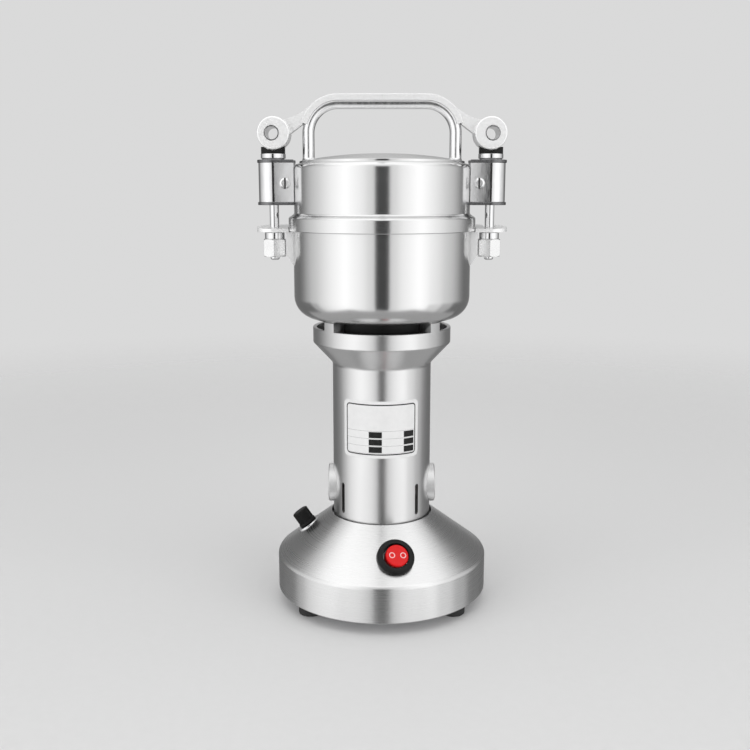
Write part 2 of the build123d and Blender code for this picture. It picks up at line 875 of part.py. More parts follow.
with BuildPart() as lid_form:
    with BuildSketch(Plane.XZ):
        with BuildLine():
            brim = (band_radius, lid_low + lid_brim)
            bend = ((band_radius + lid_radius) / 2, (brim[1] + lid_neck) / 2)
            flare = TangentArc(brim, bend, tangent=(0, 1))
            TangentArc(bend, (lid_radius, lid_neck), tangent=flare % 1)
            Line((lid_radius, lid_neck), (lid_radius, lid_top))
            TangentArc((0, lid_top + lid_dome), (lid_radius, lid_top), tangent=(1, 0))
            Polyline((0, lid_top + lid_dome), (0, lid_low), (band_radius, lid_low), brim)
        make_face()
    revolve(axis=Axis.Z)
    round_shoulder(lid_form, lid_radius, lid_top, lid_round)

with BuildPart() as lid_core:
    with BuildSketch(Plane.XZ):
        with BuildLine():
            ceiling = lid_top - lid_wall
            TangentArc((0, ceiling + lid_dome), (lid_inside, ceiling), tangent=(1, 0))
            Polyline((lid_inside, ceiling), (lid_inside, groove_top), (gasket_radius, groove_top))
            Polyline((gasket_radius, groove_top), (gasket_radius, lid_low), (0, lid_low))
            Line((0, lid_low), (0, ceiling + lid_dome))
        make_face()
    revolve(axis=Axis.Z)
    round_shoulder(lid_core, lid_inside, ceiling, lid_round - lid_wall)

with BuildPart() as lid_shell:
    add(lid_form.part)
    add(lid_core.part, mode=Mode.SUBTRACT)
save(lid_shell, "lid_shell")

with BuildPart() as lid_gasket:
    with BuildSketch(Plane.XY.offset(lid_low)):
        Circle(gasket_radius)
        Circle(lid_inside - lid_wall, mode=Mode.SUBTRACT)
    extrude(amount=gasket_web)
    with BuildSketch(Plane.XY.offset(groove_top)):
        Circle(lid_inside)
        Circle(lid_inside - lid_wall, mode=Mode.SUBTRACT)
    extrude(amount=gasket_lip)
save(lid_gasket, "lid_gasket")

with BuildPart() as carry_handle:
    with BuildLine():
        FilletPolyline(
            (-handle_half, 0, lid_top),
            (-handle_half, 0, handle_z),
            (handle_half, 0, handle_z),
            (handle_half, 0, lid_top),
            radius=handle_corner,
        )
    with BuildSketch(Plane((-handle_half, 0, lid_top), z_dir=(0, 0, 1))):
        Circle(handle_bar / 2)
    sweep()
    weld_height = 2 * handle_foot + foot_rise
    with BuildSketch(Plane.XY.offset(lid_top - handle_foot)):
        with GridLocations(2 * handle_half, 1, 2, 1):
            Circle(handle_bar / 2 + weld_height)
    extrude(amount=weld_height, taper=45)
    add(lid_form.part, mode=Mode.SUBTRACT)
save(carry_handle, "carry_handle")

# Clamps: on each side of the lid a bracket guides a tie rod, and a cam lever pulls the rod up


lean = math.radians(bracket_taper)
screw_x = rod_x - bracket_screw_inset
screw_z = bracket_low + bracket_screw_rise
rod_hole = rod_radius + running_clearance


def side_reach(nose, x):
    """How far out in Y a side of the right bracket is at this X, drawn in from a nose of this radius."""
    return nose / math.cos(lean) - (rod_x - x) * math.tan(lean)


def bracket_outline(grow):
    """The right bracket from above, grown outward: a nose round the rod, its sides drawn in to the lid."""
    nose = bracket_radius + grow
    cheek_x = rod_x - nose * math.sin(lean)
    cheek_y = nose * math.cos(lean)
    root_x = lid_radius / 2
    root_y = side_reach(nose, root_x)
    with BuildSketch() as outline:
        with BuildLine():
            Polyline(
                (cheek_x, cheek_y),
                (root_x, root_y),
                (root_x, -root_y),
                (cheek_x, -cheek_y),
                close=True,
            )
        make_face()
        with Locations((rod_x, 0)):
            Circle(nose)
        Circle(lid_radius, mode=Mode.SUBTRACT)
    return outline


screw_seats = [
    Plane(
        (screw_x, side * side_reach(bracket_radius, screw_x), screw_z),
        x_dir=(0, 0, 1),
        z_dir=(-math.sin(lean), side * math.cos(lean), 0),
    )
    for side in (1, -1)
]


def bracket():
    """The right bracket: a strap bent round the rod, with a screw hole in each side."""
    with BuildPart() as strap_part:
        with BuildSketch(Plane.XY.offset(bracket_low)):
            add(bracket_outline(0).sketch)
            add(bracket_outline(-bracket_wall).sketch, mode=Mode.SUBTRACT)
        extrude(amount=bracket_height)
        for seat in screw_seats:
            with BuildSketch(seat):
                Circle(screw_radius)
            extrude(amount=-bracket_screw_grip, mode=Mode.SUBTRACT)
    return strap_part


latch_bracket = bracket()
save(latch_bracket, "latch_bracket")

with BuildPart() as hinge_bracket:
    add(latch_bracket.part)
    mirror(about=Plane.YZ, mode=Mode.REPLACE)
save(hinge_bracket, "hinge_bracket")

with BuildPart() as guide_blocks:
    with BuildSketch(Plane.XY.offset(bracket_low)):
        add(bracket_outline(-bracket_wall).sketch)
        with Locations((rod_x, 0)):
            Circle(rod_hole, mode=Mode.SUBTRACT)
    extrude(amount=bracket_height)
    for seat in screw_seats:
        with BuildSketch(seat):
            Circle(screw_radius)
        extrude(amount=-bracket_screw_grip, mode=Mode.SUBTRACT)
    mirror(about=Plane.YZ)
save(guide_blocks, "guide_blocks")

with BuildPart() as bracket_end_plates:
    for height in (bracket_low - end_plate, bracket_top):
        with BuildSketch(Plane.XY.offset(height)):
            add(bracket_outline(end_plate_lip).sketch)
            with Locations((rod_x, 0)):
                Circle(rod_hole, mode=Mode.SUBTRACT)
        extrude(amount=end_plate)
    mirror(about=Plane.YZ)
save(bracket_end_plates, "bracket_end_plates")

with BuildPart() as bracket_screws:
    for seat in screw_seats:
        with BuildSketch(seat):
            Circle(screw_head_radius)
        extrude(amount=screw_head)
        with BuildSketch(seat):
            Circle(screw_radius)
        extrude(amount=-bracket_screw_grip)
    heads = bracket_screws.faces().sort_by(Axis.Y)
    fillet(heads[0].edges() + heads[-1].edges(), bracket_screw_round)
    for seat in screw_seats:
        with BuildSketch(seat.offset(screw_head)):
            Rectangle(2 * screw_head_radius, screw_slot)
        extrude(amount=-screw_slot_depth, mode=Mode.SUBTRACT)
    mirror(about=Plane.YZ)
save(bracket_screws, "bracket_screws")

with BuildPart() as latch_rod:
    with BuildSketch(Plane.XY.offset(rod_low)):
        with Locations((rod_x, 0)):
            Circle(rod_radius)
    extrude(amount=pivot_z - rod_low)
    fillet(latch_rod.edges().group_by(Axis.Z)[0], rod_round)
    with BuildSketch(Plane.XZ):
        with Locations((rod_x, pivot_z)):
            Circle(rod_eye_radius)
    extrude(amount=rod_eye_half, both=True)
    with BuildSketch(Plane.XZ):
        with Locations((rod_x, pivot_z)):
            Circle(pin_radius)
    extrude(amount=2 * rod_eye_half, both=True, mode=Mode.SUBTRACT)
save(latch_rod, "latch_rod")

with BuildPart() as hinge_rod:
    add(latch_rod.part)
    mirror(about=Plane.YZ, mode=Mode.REPLACE)
save(hinge_rod, "hinge_rod")

with BuildPart() as cam_pins:
    with BuildSketch(Plane.XZ):
        with Locations((rod_x, pivot_z)):
            Circle(pin_radius)
            Circle(pin_bore, mode=Mode.SUBTRACT)
    extrude(amount=cam_half, both=True)
    mirror(about=Plane.YZ)
save(cam_pins, "cam_pins")

with BuildPart() as cam_washers:
    with BuildSketch(Plane.XY.offset(washer_low - washer_neck)):
        with Locations((rod_x, 0)):
            Circle(washer_radius - washer_neck)
            Circle(rod_hole, mode=Mode.SUBTRACT)
    extrude(amount=washer_neck)
    with BuildSketch(Plane.XY.offset(washer_low)):
        with Locations((rod_x, 0)):
            Circle(washer_radius)
            Circle(rod_hole, mode=Mode.SUBTRACT)
    extrude(amount=washer_height)
    mirror(about=Plane.YZ)
save(cam_washers, "cam_washers")

with BuildPart() as cam_saddles:
    with BuildSketch(Plane.XY.offset(washer_top)):
        with Locations((rod_x, 0)):
            Circle(washer_radius)
            Rectangle(2 * saddle_half, 2 * washer_radius, mode=Mode.INTERSECT)
            Circle(rod_hole, mode=Mode.SUBTRACT)
    extrude(amount=cam_radius)
    with BuildSketch(Plane.XZ):
        with Locations((cam_x, pivot_z)):
            Circle(cam_radius + cam_clearance)
    extrude(amount=2 * cam_half, both=True, mode=Mode.SUBTRACT)
    saddle_horn = math.sqrt((cam_radius + cam_clearance) ** 2 - (saddle_half - cam_offset) ** 2)
    split(bisect_by=Plane.XY.offset(pivot_z - saddle_horn), keep=Keep.BOTTOM)
    mirror(about=Plane.YZ)
save(cam_saddles, "cam_saddles")

with BuildPart() as rod_collars:
    with BuildSketch(Plane.XY.offset(rod_collar_low)):
        with Locations((rod_x, 0)):
            Circle(collar_nut_radius)
            Circle(rod_radius, mode=Mode.SUBTRACT)
    extrude(amount=collar_nut_height)
    mirror(about=Plane.YZ)
save(rod_collars, "rod_collars")

with BuildPart() as rod_nuts:
    with BuildSketch(Plane.XY.offset(nut_low)):
        with Locations((rod_x, 0)):
            RegularPolygon(nut_flats / 2, 6, major_radius=False)
    extrude(amount=nut_height)
    nut_cone = nut_flats / math.sqrt(3)
    with BuildSketch(Plane.XZ):
        with BuildLine():
            Polyline(
                (rod_x, nut_low),
                (rod_x + nut_cone - nut_chamfer, nut_low),
                (rod_x + nut_cone, nut_low + nut_chamfer),
                (rod_x + nut_cone, nut_low + nut_height - nut_chamfer),
                (rod_x + nut_cone - nut_chamfer, nut_low + nut_height),
                (rod_x, nut_low + nut_height),
                close=True,
            )
        make_face()
    revolve(axis=Axis((rod_x, 0, 0), (0, 0, 1)), mode=Mode.INTERSECT)
    with BuildSketch(Plane.XY.offset(nut_low)):
        with Locations((rod_x, 0)):
            Circle(rod_radius)
    extrude(amount=nut_height, mode=Mode.SUBTRACT)
    mirror(about=Plane.YZ)
save(rod_nuts, "rod_nuts")

corner_x = handle_half - handle_corner
corner_z = handle_z - handle_corner
strap_inner = handle_corner + handle_bar / 2 + strap_gap
strap_outer = strap_inner + strap


def around(center, radius, angle):
    """The point on a circle at an angle from its X direction."""
    turn = math.radians(angle)
    return (center[0] + radius * math.cos(turn), center[1] + radius * math.sin(turn))


with BuildPart() as right_cam_lever:
    with BuildSketch(Plane.XZ):
        with Locations((cam_x, pivot_z)):
            Circle(cam_radius)
    extrude(amount=cam_half, both=True)
    fillet(right_cam_lever.edges().filter_by(GeomType.CIRCLE), cam_round)
    with BuildSketch(Plane.XZ):
        with BuildLine():
            corner = (corner_x, corner_z)
            cam_center = (cam_x, pivot_z)
            shoulder_point = around(corner, strap_outer, arm_angle)
            crown_point = around(corner, strap_outer, 90)
            heel_point = around(corner, strap_inner, arm_foot_angle)
            hollow_point = around(corner, strap_inner, 90)
            away = (math.sin(math.radians(arm_angle)), -math.cos(math.radians(arm_angle)))
            root_upper = around(cam_center, cam_radius, arm_root_upper)
            root_lower = around(cam_center, cam_radius, arm_root_lower)
            Line((strap_split, crown_point[1]), crown_point)
            CenterArc(corner, strap_outer, 90, arm_angle - 90)
            TangentArc(shoulder_point, root_upper, tangent=away)
            Polyline(root_upper, cam_center, root_lower, heel_point)
            CenterArc(corner, strap_inner, arm_foot_angle, 90 - arm_foot_angle)
            Polyline(hollow_point, (strap_split, hollow_point[1]), (strap_split, crown_point[1]))
        make_face()
    extrude(amount=handle_bar / 2, both=True)
    with BuildSketch(Plane.XZ):
        with Locations((rod_x, pivot_z)):
            Circle(pin_radius + running_clearance)
    extrude(amount=2 * cam_half, both=True, mode=Mode.SUBTRACT)
    slot_start = rod_x - rod_eye_radius - cam_clearance
    with BuildSketch(Plane.XY.offset(pivot_z)):
        with Locations((slot_start + cam_radius, 0)):
            Rectangle(2 * cam_radius, 2 * cam_slot_half)
    extrude(amount=2 * cam_radius, both=True, mode=Mode.SUBTRACT)
save(right_cam_lever, "right_cam_lever")

with BuildPart() as left_cam_lever:
    add(right_cam_lever.part)
    mirror(about=Plane.YZ, mode=Mode.REPLACE)
save(left_cam_lever, "left_cam_lever")

# Switch: a round rocker in a black bezel on the front of the base

bezel_axis = Axis(switch_plane.origin, switch_plane.z_dir)
recess_radius = rocker_radius + rocker_play

with BuildPart() as switch_housing:
    with BuildSketch(switch_plane.offset(bezel_height)):
        Circle(bezel_radius)
    extrude(amount=-bezel_height - sheet)
    fillet(switch_housing.faces().sort_by(bezel_axis)[-1].edges(), bezel_round)
    add(base_shell.part, mode=Mode.SUBTRACT)
    with BuildSketch(switch_plane):
        Circle(switch_body_radius)
    extrude(amount=-switch_depth)
    with BuildSketch(switch_plane.offset(-rocker_sink - rocker_height)):
        Circle(recess_radius)
    extrude(amount=2 * switch_depth, mode=Mode.SUBTRACT)
    with BuildSketch(Plane(switch_plane.origin, x_dir=switch_plane.x_dir, z_dir=switch_plane.y_dir)):
        Circle(rocker_pin_radius + running_clearance)
    extrude(amount=rocker_pin_reach + rocker_play, both=True, mode=Mode.SUBTRACT)
save(switch_housing, "switch_housing")

tilt = math.radians(rocker_tilt)
rocker_normal = switch_plane.z_dir * math.cos(tilt) + switch_plane.x_dir * math.sin(tilt)
rocker_plane = Plane(
    switch_plane.origin,
    x_dir=switch_plane.x_dir * math.cos(tilt) - switch_plane.z_dir * math.sin(tilt),
    z_dir=rocker_normal,
)
rocker_axis = Axis(switch_plane.origin, rocker_normal)

with BuildPart() as switch_rocker:
    with BuildSketch(rocker_plane.offset(-rocker_sink)):
        Circle(rocker_radius)
    extrude(amount=rocker_sink + rocker_height)
    fillet(switch_rocker.faces().sort_by(rocker_axis)[-1].edges(), rocker_play)
    with BuildSketch(Plane(switch_plane.origin, x_dir=switch_plane.x_dir, z_dir=switch_plane.y_dir)):
        Circle(rocker_pin_radius)
    extrude(amount=rocker_pin_reach, both=True)
save(switch_rocker, "switch_rocker")

# Fuse: a holder through the left of the cone, with a quarter-turn cap that draws the fuse out

fuse_axis = Axis(fuse_plane.origin, fuse_plane.z_dir)
fuse_bore = fuse_link_radius + fuse_play

with BuildPart() as fuse_washer:
    with BuildSketch(fuse_plane.offset(fuse_washer_height)):
        Circle(fuse_washer_radius)
    extrude(amount=-fuse_washer_height - sheet)
    add(base_shell.part, mode=Mode.SUBTRACT)
    with BuildSketch(fuse_plane.offset(fuse_washer_height)):
        Circle(fuse_body_radius)
    extrude(amount=-fuse_depth, mode=Mode.SUBTRACT)
save(fuse_washer, "fuse_washer")

with BuildPart() as fuse_holder:
    with BuildSketch(fuse_plane.offset(fuse_washer_height)):
        Circle(fuse_body_radius)
    extrude(amount=-fuse_depth)
    with BuildSketch(fuse_plane.offset(fuse_washer_height)):
        Circle(fuse_bore)
    extrude(amount=-fuse_link_length - fuse_play, mode=Mode.SUBTRACT)
save(fuse_holder, "fuse_holder")

cap_low = fuse_plane.offset(fuse_washer_height + fuse_play)

with BuildPart() as fuse_cap:
    with BuildSketch(cap_low):
        Circle(fuse_cap_radius)
    extrude(amount=fuse_cap_height)
    fillet(fuse_cap.faces().sort_by(fuse_axis)[-1].edges(), fuse_cap_lip)
    with BuildSketch(cap_low):
        Circle(fuse_cap_radius + fuse_cap_lip)
    extrude(amount=fuse_cap_flange)
save(fuse_cap, "fuse_cap")

with BuildPart() as fuse_link:
    with BuildSketch(cap_low):
        Circle(fuse_link_radius)
    extrude(amount=-fuse_link_length)
save(fuse_link, "fuse_link")
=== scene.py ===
# %% [markdown]
# # A grain grinder, dressed in Blender
# The grinder's solids were built in CAD and packed as a fixed frame. This script loads that frame,
# models finer skins over the solids that show, gives every surface its finish and sets up a studio.
# All of it is in metres and in the frame's own axes: the grinder stands on Z = 0 and its switch
# faces -Y, so a skin is modelled exactly where its solid is and nothing has to be fitted afterwards.

# %% Load the frame
import json
import math

import bmesh
import bpy
from mathutils import Matrix, Vector

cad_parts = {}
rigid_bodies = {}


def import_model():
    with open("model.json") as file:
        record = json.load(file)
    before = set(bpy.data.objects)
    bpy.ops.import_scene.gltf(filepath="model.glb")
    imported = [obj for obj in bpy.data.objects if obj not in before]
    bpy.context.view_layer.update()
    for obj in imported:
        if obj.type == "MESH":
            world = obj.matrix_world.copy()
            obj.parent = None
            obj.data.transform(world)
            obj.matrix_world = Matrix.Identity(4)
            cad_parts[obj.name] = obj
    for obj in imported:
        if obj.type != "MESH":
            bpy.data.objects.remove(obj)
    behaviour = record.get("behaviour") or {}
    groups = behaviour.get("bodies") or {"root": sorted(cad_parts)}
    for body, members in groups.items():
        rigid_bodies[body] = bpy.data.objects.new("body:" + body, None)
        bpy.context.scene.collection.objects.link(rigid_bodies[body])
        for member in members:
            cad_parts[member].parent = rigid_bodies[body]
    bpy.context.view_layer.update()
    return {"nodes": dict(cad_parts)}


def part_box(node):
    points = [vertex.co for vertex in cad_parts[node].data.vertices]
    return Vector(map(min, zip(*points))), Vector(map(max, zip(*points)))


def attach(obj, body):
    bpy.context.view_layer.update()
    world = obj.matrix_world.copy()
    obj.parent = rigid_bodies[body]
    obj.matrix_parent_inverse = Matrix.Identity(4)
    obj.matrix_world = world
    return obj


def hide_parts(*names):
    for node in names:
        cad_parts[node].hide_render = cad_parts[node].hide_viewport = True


for leftover in list(bpy.data.objects):
    bpy.data.objects.remove(leftover)
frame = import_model()
mm = 0.001

# %% [markdown]
# ## The camera
# The photograph was taken from a little above the rim band, so the lid's top is seen edge-on while
# the base's cone opens up. The focal length and the place come from matching the widths and heights
# of the base, band and lid to their places in the picture, which is 750 pixels square.

# %% Camera
photo_size = 750
focal_in_pixels = 936
sensor_width = 36
camera_place = (-3.75 * mm, -512.2 * mm, 224.9 * mm)
camera_tilt = math.radians(10.84)
bpy.ops.object.camera_add(location=camera_place, rotation=(math.pi / 2 - camera_tilt, 0, 0))
camera = bpy.context.object
camera.data.sensor_width = sensor_width
camera.data.lens = focal_in_pixels * sensor_width / photo_size
camera.data.clip_start = 10 * mm
bpy.context.scene.camera = camera
print("lens", round(camera.data.lens, 2), "mm")

# %% [markdown]
# ## Small helpers for modelling by hand
# Blender's operators act on whatever is selected, so each helper first picks exactly what it needs.
# A turned piece is drawn as half a section, one vertex extruded from corner to corner, whose corners
# are rounded by a vertex bevel before the section is spun round the Z axis.

# %% Picking
weld = 0.001 * mm


def pick(piece):
    """Select one piece alone and make it active."""
    bpy.ops.object.select_all(action="DESELECT")
    piece.select_set(True)
    bpy.context.view_layer.objects.active = piece


def pick_points(piece, test):
    """In edit mode, select the vertices whose place passes a test."""
    bpy.ops.mesh.select_mode(type="VERT")
    bpy.ops.mesh.select_all(action="DESELECT")
    mesh = bmesh.from_edit_mesh(piece.data)
    for point in mesh.verts:
        point.select_set(test(point.co))
    mesh.select_flush_mode()
    bmesh.update_edit_mesh(piece.data)


def pick_faces(piece, test):
    """In edit mode, select the faces whose middle and normal pass a test."""
    bpy.ops.mesh.select_mode(type="FACE")
    bpy.ops.mesh.select_all(action="DESELECT")
    mesh = bmesh.from_edit_mesh(piece.data)
    for face in mesh.faces:
        face.select_set(test(face.calc_center_median(), face.normal))
    bmesh.update_edit_mesh(piece.data)


def close_up(piece):
    """In edit mode, weld seams and poles, turn all faces outwards, and go back to object mode."""
    bpy.ops.mesh.select_mode(type="VERT")
    bpy.ops.mesh.select_all(action="SELECT")
    bpy.ops.mesh.remove_doubles(threshold=weld)
    bpy.ops.mesh.delete_loose()
    bpy.ops.mesh.select_all(action="SELECT")
    bpy.ops.mesh.normals_make_consistent(inside=False)
    bpy.ops.object.mode_set(mode="OBJECT")


def gather(piece, others):
    """Join other pieces into one."""
    pick(piece)
    for other in others:
        other.select_set(True)
    bpy.ops.object.join()


print("picking helpers ready")

# %% Turning
corner_steps = 8
full_turn_steps = 256


def draw_section(name, corners):
    """Draw closed (radius, height, rounding) corners in the XZ plane and stay in edit mode."""
    bpy.ops.object.select_all(action="DESELECT")
    here = Vector((corners[0][0], 0, corners[0][1]))
    bpy.ops.mesh.primitive_plane_add(size=mm, location=here)
    piece = bpy.context.object
    piece.name = name
    bpy.ops.object.transform_apply(location=True)
    bpy.ops.object.mode_set(mode="EDIT")
    bpy.ops.mesh.merge(type="CENTER")
    for radius, height, rounding in corners[1:] + corners[:1]:
        there = Vector((radius, 0, height))
        bpy.ops.mesh.extrude_region_move(TRANSFORM_OT_translate={"value": there - here})
        here = there
    bpy.ops.mesh.select_all(action="SELECT")
    bpy.ops.mesh.remove_doubles(threshold=weld)
    for radius, height, rounding in corners:
        if rounding:
            corner = Vector((radius, 0, height))
            pick_points(piece, lambda place: (place - corner).length < weld)
            bpy.ops.mesh.bevel(offset=rounding, segments=corner_steps, affect="VERTICES")
    return piece


def turned(name, corners, steps=full_turn_steps):
    """A section spun once round the Z axis."""
    piece = draw_section(name, corners)
    bpy.ops.mesh.select_all(action="SELECT")
    bpy.ops.mesh.spin(steps=steps, angle=math.tau, center=(0, 0, 0), axis=(0, 0, 1))
    close_up(piece)
    return piece


print("turning helpers ready")

# %% [markdown]
# ## Skins that start from a solid
# Where a solid already has the right shape, its skin is a copy of it: the loose triangles are welded,
# flat areas become single faces, and a small bevel rounds the sharp edges so that they catch light as
# real machined or cast edges do. The solid itself is never touched.

# %% Rounded copies
flat_angle = math.radians(0.4)
sharp_angle = math.radians(38)
edge_steps = 3


def rounded_copy(node, name, edge):
    """A welded copy of a CAD solid with its sharp edges rounded."""
    piece = bpy.data.objects.new(name, frame["nodes"][node].data.copy())
    bpy.context.collection.objects.link(piece)
    pick(piece)
    bpy.ops.mesh.customdata_custom_splitnormals_clear()
    bpy.ops.object.mode_set(mode="EDIT")
    bpy.ops.mesh.select_all(action="SELECT")
    bpy.ops.mesh.remove_doubles(threshold=weld)
    bpy.ops.mesh.dissolve_limited(angle_limit=flat_angle)
    bpy.ops.object.mode_set(mode="OBJECT")
    rounding = piece.modifiers.new("rounding", "BEVEL")
    rounding.width = edge
    rounding.segments = edge_steps
    rounding.limit_method = "ANGLE"
    rounding.angle_limit = sharp_angle
    bpy.ops.object.modifier_apply(modifier="rounding")
    return piece


print("copy helper ready")

# %% [markdown]
# ## Settling a piece
# A finished piece is shaded smooth except across real edges. Its normals are then weighted by face
# area, which keeps the large walls flat right up to their narrow roundings, so that reflections run
# straight. Last it gets its finish, hangs on the body it moves with, and stands for the solids that
# it hides.

# %% Settling
smooth_angle = math.radians(32)


def settle(piece, body, slot, finish, *nodes):
    """Smooth a piece, give it its finish, hang it on its body and let it stand for its solids."""
    pick(piece)
    bpy.ops.object.shade_smooth_by_angle(angle=smooth_angle)
    weighted = piece.modifiers.new("weighted", "WEIGHTED_NORMAL")
    weighted.keep_sharp = True
    bpy.ops.object.modifier_apply(modifier="weighted")
    piece.data.materials.clear()
    piece.data.materials.append(finish)
    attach(piece, body)
    if nodes:
        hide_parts(*nodes)
    print(piece.name, "on", body, "with", len(piece.data.polygons), "faces")


print("settling helper ready")

# %% [markdown]
# ## Finishes
# Every finish is a Principled shader fed by noise on Object coordinates. One helper lays down a grain
# that varies colour and roughness and lifts a little relief; each finish then sets its own scale and
# strength, so brushed steel, castings, plastic and rubber all come from the same few nodes.

# %% Grain
grain_detail = 4
grain_low = 0.3
grain_high = 0.7


def grey(tone):
    """A neutral colour."""
    return (tone, tone, tone)


def blank_finish(name, metallic, roughness):
    """A new material and its shader."""
    finish = bpy.data.materials.new(name)
    finish.use_nodes = True
    shader = finish.node_tree.nodes["Principled BSDF"]
    shader.inputs["Metallic"].default_value = metallic
    shader.inputs["Roughness"].default_value = roughness
    return finish, finish.node_tree, shader


def stretched_space(tree, stretch):
    """Object coordinates scaled along each axis, so that noise runs into lines."""
    place = tree.nodes.new("ShaderNodeTexCoord")
    mapping = tree.nodes.new("ShaderNodeMapping")
    mapping.inputs["Scale"].default_value = stretch
    tree.links.new(place.outputs["Object"], mapping.inputs["Vector"])
    return mapping.outputs["Vector"]


def lay_grain(tree, shader, space, dark, light, smooth, rough, relief):
    """Noise that moves the colour between two tones and the gloss between two roughnesses."""
    noise = tree.nodes.new("ShaderNodeTexNoise")
    noise.inputs["Scale"].default_value = 1
    noise.inputs["Detail"].default_value = grain_detail
    tree.links.new(space, noise.inputs["Vector"])
    tone = tree.nodes.new("ShaderNodeValToRGB")
    tone.color_ramp.elements[0].position = grain_low
    tone.color_ramp.elements[0].color = (*dark, 1)
    tone.color_ramp.elements[1].position = grain_high
    tone.color_ramp.elements[1].color = (*light, 1)
    tree.links.new(noise.outputs["Fac"], tone.inputs["Fac"])
    tree.links.new(tone.outputs["Color"], shader.inputs["Base Color"])
    gloss = tree.nodes.new("ShaderNodeMapRange")
    gloss.inputs["From Min"].default_value = grain_low
    gloss.inputs["From Max"].default_value = grain_high
    gloss.inputs["To Min"].default_value = smooth
    gloss.inputs["To Max"].default_value = rough
    tree.links.new(noise.outputs["Fac"], gloss.inputs["Value"])
    tree.links.new(gloss.outputs["Result"], shader.inputs["Roughness"])
    bump = tree.nodes.new("ShaderNodeBump")
    bump.inputs["Strength"].default_value = 1
    bump.inputs["Distance"].default_value = relief
    tree.links.new(noise.outputs["Fac"], bump.inputs["Height"])
    tree.links.new(bump.outputs["Normal"], shader.inputs["Normal"])


print("grain helper ready")

# %% [markdown]
# ## Brushed steel
# The lid, bowl, column and base are spun and brushed round their axis. Fine lines run level round the
# wall, so the noise is squeezed along Z and drawn out along X and Y. The scratches also spread light
# across themselves, up and down the wall, and hardly at all along it: the shader's anisotropy, turned
# a quarter round a radial tangent, gives the tall light and dark bands that such metal shows.

# %% Brushed steel
brush_stretch = (12, 12, 6500)
brush_shade = 0.98
quarter_turn = 0.25


def brushed_steel(name, tone, smooth, rough, anisotropy, relief):
    """Steel brushed in level lines round the Z axis."""
    finish, tree, shader = blank_finish(name, 1, rough)
    space = stretched_space(tree, brush_stretch)
    lay_grain(tree, shader, space, grey(tone * brush_shade), grey(tone), smooth, rough, relief)
    shader.inputs["Anisotropic"].default_value = anisotropy
    shader.inputs["Anisotropic Rotation"].default_value = quarter_turn
    tangent = tree.nodes.new("ShaderNodeTangent")
    tangent.direction_type = "RADIAL"
    tangent.axis = "Z"
    tree.links.new(tangent.outputs["Tangent"], shader.inputs["Tangent"])
    return finish


brushed_shell = brushed_steel(
    "brushed_shell", tone=0.74, smooth=0.18, rough=0.22, anisotropy=0.8, relief=0.00009 * mm
)
brushed_base = brushed_steel(
    "brushed_base", tone=0.74, smooth=0.26, rough=0.31, anisotropy=0.7, relief=0.00012 * mm
)
brushed_housing = brushed_steel(
    "brushed_housing", tone=0.73, smooth=0.28, rough=0.34, anisotropy=0.65, relief=0.00012 * mm
)
print("brushed finishes:", brushed_shell.name, brushed_base.name, brushed_housing.name)

# %% [markdown]
# ## Polished, plain and cast metal
# The rods, pins, collars and brackets are polished: nearly a mirror, with a faint haze of rubbing
# marks. The handle and the screws are a little softer. The nuts are plated bright, and the levers and
# ears are castings that were tumbled: whiter and softer still, with a fine pebbled skin. Hidden steel,
# laminations, copper and brass need less, but each keeps a grain.

# %% Metals
def grained_metal(name, stretch, dark, light, smooth, rough, relief, metallic=1):
    """A metal with an even or drawn-out grain."""
    finish, tree, shader = blank_finish(name, metallic, rough)
    space = stretched_space(tree, stretch)
    lay_grain(tree, shader, space, dark, light, smooth, rough, relief)
    return finish


polished_steel = grained_metal(
    "polished_steel", stretch=(900, 900, 160), dark=(0.76, 0.76, 0.77), light=grey(0.84),
    smooth=0.07, rough=0.13, relief=0.0006 * mm,
)
cast_alloy = grained_metal(
    "cast_alloy", stretch=(1300, 1300, 1300), dark=grey(0.86), light=grey(0.92),
    smooth=0.3, rough=0.4, relief=0.0012 * mm, metallic=0.5,
)
bright_alloy = grained_metal(
    "bright_alloy", stretch=(300, 300, 300), dark=grey(0.78), light=grey(0.84),
    smooth=0.24, rough=0.32, relief=0.0002 * mm, metallic=0.9,
)
satin_steel = grained_metal(
    "satin_steel", stretch=(900, 900, 300), dark=(0.8, 0.8, 0.81), light=grey(0.87),
    smooth=0.18, rough=0.25, relief=0.0006 * mm,
)
tumbled_steel = grained_metal(
    "tumbled_steel", stretch=(1200, 1200, 1200), dark=grey(0.72), light=grey(0.78),
    smooth=0.38, rough=0.48, relief=0.002 * mm,
)
# Painted shade: the bracket end plates get this near-black steel so that they look shaded.
painted_shade_steel = grained_metal(
    "painted_shade_steel", stretch=(700, 700, 700), dark=(0.16, 0.16, 0.165), light=(0.22, 0.22, 0.225),
    smooth=0.24, rough=0.34, relief=0.002 * mm,
)
plain_steel = grained_metal(
    "plain_steel", stretch=(700, 700, 700), dark=(0.55, 0.55, 0.57), light=(0.64, 0.64, 0.65),
    smooth=0.25, rough=0.38, relief=0.003 * mm,
)
blade_steel = grained_metal(
    "blade_steel", stretch=(180, 1800, 600), dark=(0.66, 0.66, 0.67), light=(0.76, 0.76, 0.77),
    smooth=0.14, rough=0.26, relief=0.002 * mm,
)
laminations = grained_metal(
    "laminations", stretch=(60, 60, 4000), dark=(0.2, 0.2, 0.21), light=(0.33, 0.33, 0.34),
    smooth=0.4, rough=0.6, relief=0.03 * mm,
)
copper_wire = grained_metal(
    "copper_wire", stretch=(400, 400, 2200), dark=(0.5, 0.24, 0.11), light=(0.76, 0.42, 0.22),
    smooth=0.25, rough=0.4, relief=0.05 * mm,
)
plain_brass = grained_metal(
    "plain_brass", stretch=(900, 900, 900), dark=(0.66, 0.5, 0.22), light=(0.78, 0.62, 0.31),
    smooth=0.22, rough=0.36, relief=0.003 * mm,
)
print("metals ready")

